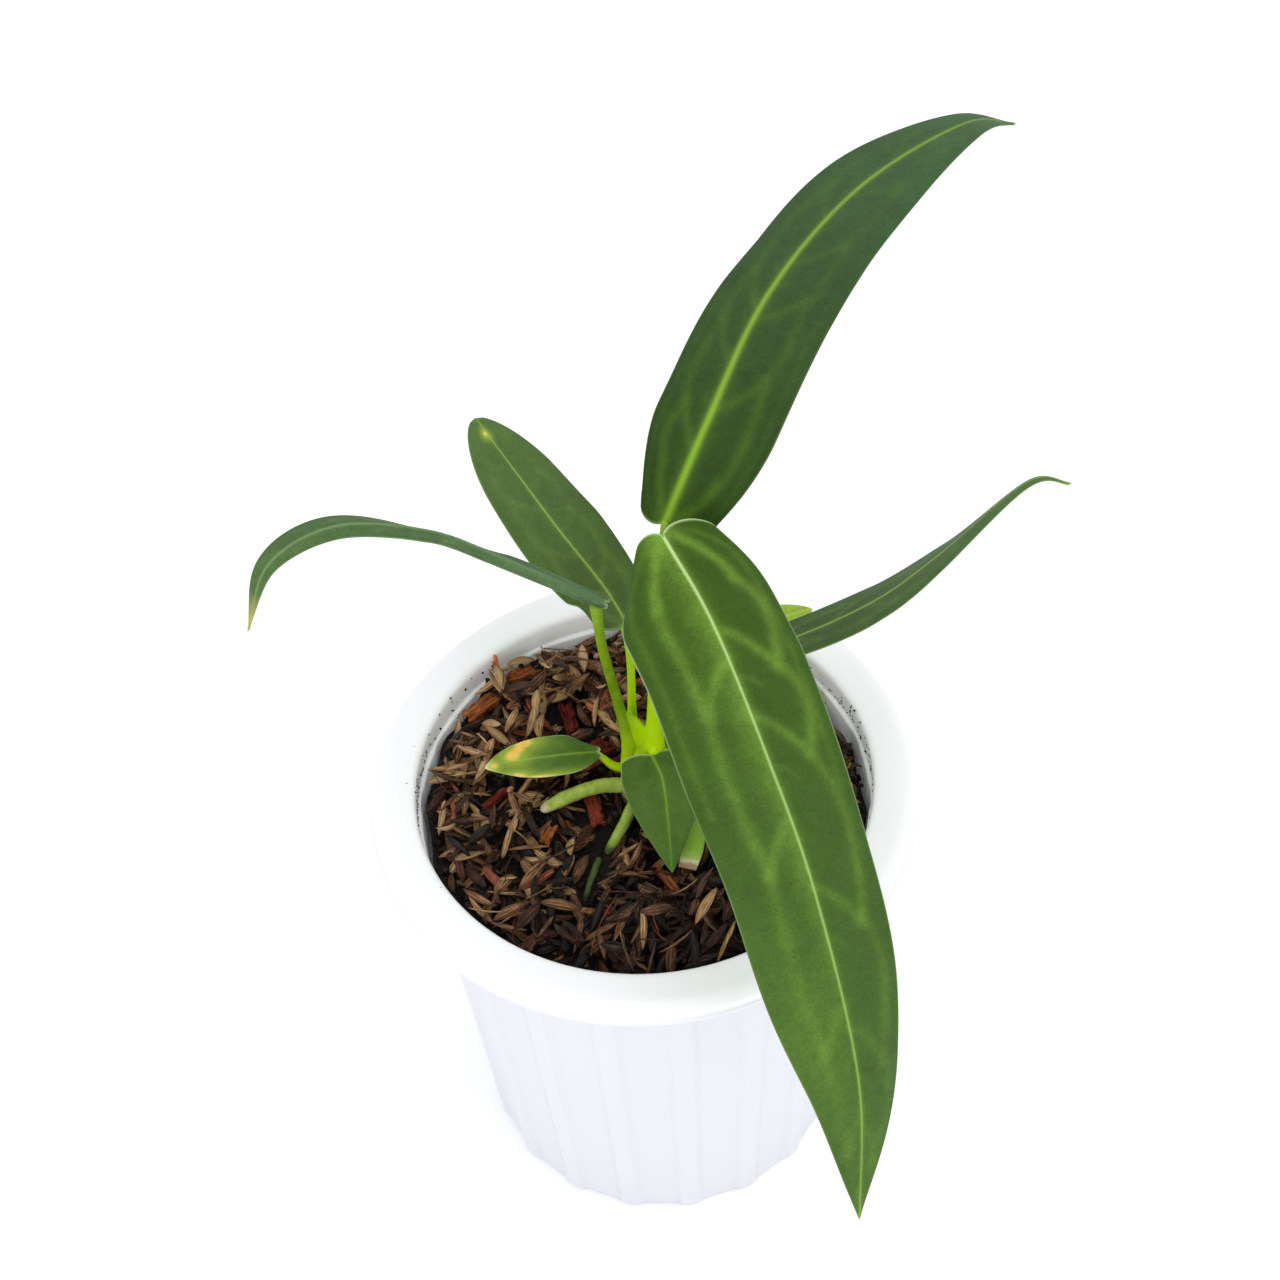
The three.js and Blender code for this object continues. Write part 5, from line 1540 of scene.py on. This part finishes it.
def make_petiole(name, leaf, material):
    """A leaf stalk: flared at the crown, faintly grooved, swollen below the blade."""

    def shape(share, turn, length):
        knuckle = KNUCKLE_SWELL * np.exp(-((1 - share) * length / KNUCKLE_LENGTH) ** 2) * leaf["radii"][-1]
        groove = -GROOVE_DEPTH * np.exp(-((turn - math.pi / 2) / 0.5) ** 2)
        return flared(leaf["flare"], share * length) + knuckle + groove

    rough_length = np.linalg.norm(np.diff(np.array(leaf["path"], float), axis=0), axis=1).sum()
    steps = int(rough_length / 0.8) + 12
    points, faces, _, turns = tube(leaf["path"], leaf["radii"], 24, steps, shape)
    piece = make_piece(f"{name}_leaf_stalk", points, faces, "petiole_skin", material, {"around": turns})
    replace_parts(piece, f"petiole_{name}")


def make_leaves():
    """The eight leaves: each blade in its own green, each stalk below it."""
    skins = {name: leaf_skin(**colours) for name, colours in LEAF_COLOURS.items()}
    bright = stalk_skin("waxy_leaf_stalk", STALK_STOPS)
    dark = stalk_skin("waxy_leaf_stalk_dark", LEFT_STALK_STOPS)
    for name, leaf in LEAVES.items():
        make_blade(name, leaf, SLOTS[f"blade_{name}"], skins[name], PATCHES.get(name, ()))
        make_petiole(name, leaf, dark if name == "left" else bright)


make_leaves()


# Crown, stem, roots and cut leaf


def sheath_skin():
    """Sheathing leaf bases: the stalks' own bright skin, waxy, with a few soft dents."""
    material, tree, shader, place = new_material("waxy_leaf_sheath", Roughness=0.38, IOR=1.42,
                                                 Specular_IOR_Level=0.12)
    bright, spots = stalk_colour(tree, place, STALK_STOPS)
    dark, _ = stalk_colour(tree, place, LEFT_STALK_STOPS)
    across = add(tree, "SeparateXYZ", {"Vector": place}, out="X")
    right = add(tree, "MapRange", {"Value": across, "From Min": DARK_SHEATH * MM,
                                   "From Max": BRIGHT_SHEATH * MM})
    feed(shader, {
        "Base Color": painted(tree, dark, [(bright, right)]),
        "Normal": add(tree, "Bump", {"Strength": 0.12, "Distance": 0.3 * MM, "Height": spots}),
    })
    return material


def sheath_web():
    """The sheath between two stalks, with a V notch in its top edge."""
    dense = np.linspace(0, 1, CURVE_STEPS)
    stalks = [along_curve(LEAVES[name]["path"], dense) for name in ("left", "front")]
    rings = []
    for share in np.linspace(0, 1, 28):
        reach = np.linspace(0, 1, 20) * np.interp(share, *zip(*WEB_TOP))
        left, front = (read_line(reach, dense * length, path) for path, length in stalks)
        middle = (1 - share) * left + share * front
        forward = unit(np.cross(front - left, [0, 0, 1.0])) * WEB_HALF
        rings.append(np.vstack([middle + forward, (middle - forward)[::-1]]))
    return skin(np.array(rings))


def crown_body():
    """The middle of the crown, turned from the solid's outline a little smaller."""
    radius, height = np.array(CROWN_OUTLINE, float)[1:-1].T[:, :, None]
    turn = round_turn(CROWN_SIDES)
    return skin(np.stack([
        CROWN_CENTRE[0] + radius * CROWN_SHRINK * np.cos(turn),
        CROWN_CENTRE[1] + radius * CROWN_SHRINK * np.sin(turn),
        np.minimum(height, CROWN_BODY_TOP) + np.zeros(CROWN_SIDES)], -1))


def sheath(leaf):
    """The flared foot of a stalk, a little slimmer than the stalk where it leaves the crown."""
    share = np.linspace(0, 1, 160)
    path, length = along_curve(leaf["path"], share)
    low = share * length < SHEATH_LENGTH

    def foot(share, _, total):
        run = share * total
        return flared(leaf["flare"], run) + 0.15 * np.exp(-(run / 4) ** 2) - 0.3 * np.minimum(1, run / 6)

    return tube(path[low], between(leaf["radii"], share[low]), 24, 30, foot)[:2]


def make_crown():
    """The sheaths grown together: the stalks' feet, a web, a tip and a core, melted into one skin."""
    parts = [crown_body()]
    parts += [sheath(leaf) for leaf in LEAVES.values() if leaf["flare"] >= LEAST_SHEATH_FLARE]
    parts += [sheath_web(), tube(CROWN_TIP, CROWN_TIP_RADII, 16, 12)[:2]]
    crown = make_piece("leaf_sheaths", *joined(parts), "leaf_sheath", sheath_skin())
    melt = crown.modifiers.new("melt", "REMESH")
    melt.mode = "VOXEL"
    melt.voxel_size = MELT_GRID * MM
    melt.use_smooth_shade = True
    soften = crown.modifiers.new("soften", "SMOOTH")
    soften.factor = 0.6
    soften.iterations = 8
    apply_modifiers(crown)
    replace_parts(crown, "crown")


def stem_skin():
    """Stem bark: green under a thin tan cork in flecks."""
    material, tree, shader, place = new_material("ringed_stem_bark", Roughness=0.6)
    cork = add(tree, "TexNoise", {"Vector": place, "Scale": scale_of(CORK_FLECK), "Detail": 5.0})
    feed(shader, {
        "Base Color": add(tree, "ValToRGB", {"Fac": cork}, stops=STEM_STOPS),
        "Normal": add(tree, "Bump", {"Strength": 0.5, "Distance": 0.3 * MM, "Height": cork}),
    })
    return material


def root_skin(name, body, tip, tip_start):
    """Living aerial root: pale green, dull, with a corky tip."""
    material, tree, shader, place = new_material(name, Roughness=0.6, Specular_IOR_Level=0.3)
    share = add(tree, "Attribute", out="Fac", attribute_name="share")
    flecks = add(tree, "TexNoise", {"Vector": place, "Scale": scale_of(ROOT_FLECK), "Detail": 4.0})
    light = add(tree, "MapRange", {"Value": flecks, "From Min": 0.35, "From Max": 0.7, "To Max": 0.6})
    ragged = add(tree, "Math", {0: flecks, 1: 0.12, 2: share}, operation="MULTIPLY_ADD")
    near_tip = add(tree, "MapRange", {"Value": ragged, "From Min": tip_start, "From Max": tip_start + 0.1})
    feed(shader, {
        "Base Color": painted(tree, body[0], [(body[1], light), (tip, near_tip)]),
        "Normal": add(tree, "Bump", {"Strength": 0.25, "Distance": 0.3 * MM, "Height": flecks}),
    })
    return material


def make_stem_and_roots():
    """The stem with its leaf scars, and the three aerial roots."""
    def scars(share, turn, length):
        phase = share * length / STEM["scar_pitch"] * 2 * math.pi + 0.5 * np.sin(turn)
        return STEM["scar_height"] * np.cos(phase)

    def knobs(share, turn, length):
        wander = np.sin(share * length * 1.3 + 2 * np.sin(turn)) + np.sin(share * length * 2.9 - turn)
        return ROOT_KNOBS * wander

    points, faces, *_ = tube(STEM["path"], STEM["radii"], 48, 90, scars)
    stem = make_piece("ringed_stem", points, faces, "stem_skin", stem_skin())
    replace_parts(stem, "stem")
    finishes = {
        "root_left": root_skin("live_root", ("8ea636", "bfcb72"), "d6c6a2", 0.93),
        "root_front": root_skin("live_root_pale", ("86a632", "b6c868"), "4c5a2a", 0.88),
        # The thin root's dark green and dark tip are painted shade, for the shade it lies in.
        "root_thin": root_skin("dark_root_painted_shade", ("3c5020", "566c30"), "2c3318", 0.85),
    }
    for name, root in ROOTS.items():
        points, faces, shares, _ = tube(root["path"], root["radii"], 24, 70, knobs, ROOT_END_ROUND)
        slot = "thin_root_skin" if name == "root_thin" else "root_skin"
        piece = make_piece(f"aerial_{name}", points, faces, slot, finishes[name], {"share": shares})
        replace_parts(piece, name)


def cut_leaf_skin():
    """Cut leaf: fresh green, dried to straw where it was cut."""
    material, tree, shader, place = new_material("cut_leaf_with_dried_end", Roughness=0.5)
    share = add(tree, "Attribute", out="Fac", attribute_name="share")
    flecks = add(tree, "TexNoise", {"Vector": place, "Scale": scale_of(DRIED_FLECK), "Detail": 4.0})
    ragged = add(tree, "Math", {0: flecks, 1: 0.07, 2: share}, operation="MULTIPLY_ADD")
    feed(shader, {"Base Color": add(tree, "ValToRGB", {"Fac": ragged}, stops=CUT_LEAF_STOPS)})
    return material


def make_stub():
    """The leaf cut short: a flat strap with a dried, torn end."""
    steps, sides = 60, 40
    share = np.linspace(0, 1, steps + 1)
    centres, _ = along_curve(STUB["path"], share)
    tangents = unit(np.gradient(centres, axis=0))
    across = unit(np.cross(tangents, [0, 0, 1]))
    turn = round_turn(sides)
    half = between(STUB["widths"], share)[:, None]
    thick = STUB["thickness"] / 2 * (0.75 + 0.25 * (1 - share))[:, None]
    flat = np.abs(np.sin(turn)) ** 0.8 * np.sign(np.sin(turn))
    points, faces = skin(rings_along(centres, across, np.cross(across, tangents), half * np.cos(turn),
                                     thick * flat))
    shares = np.append(np.repeat(share, sides), [0, 1])
    piece = make_piece("cut_leaf", points, faces, "yellowing_leaf", cut_leaf_skin(), {"share": shares})
    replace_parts(piece, "leaf_stub")


make_crown()
make_stem_and_roots()
make_stub()
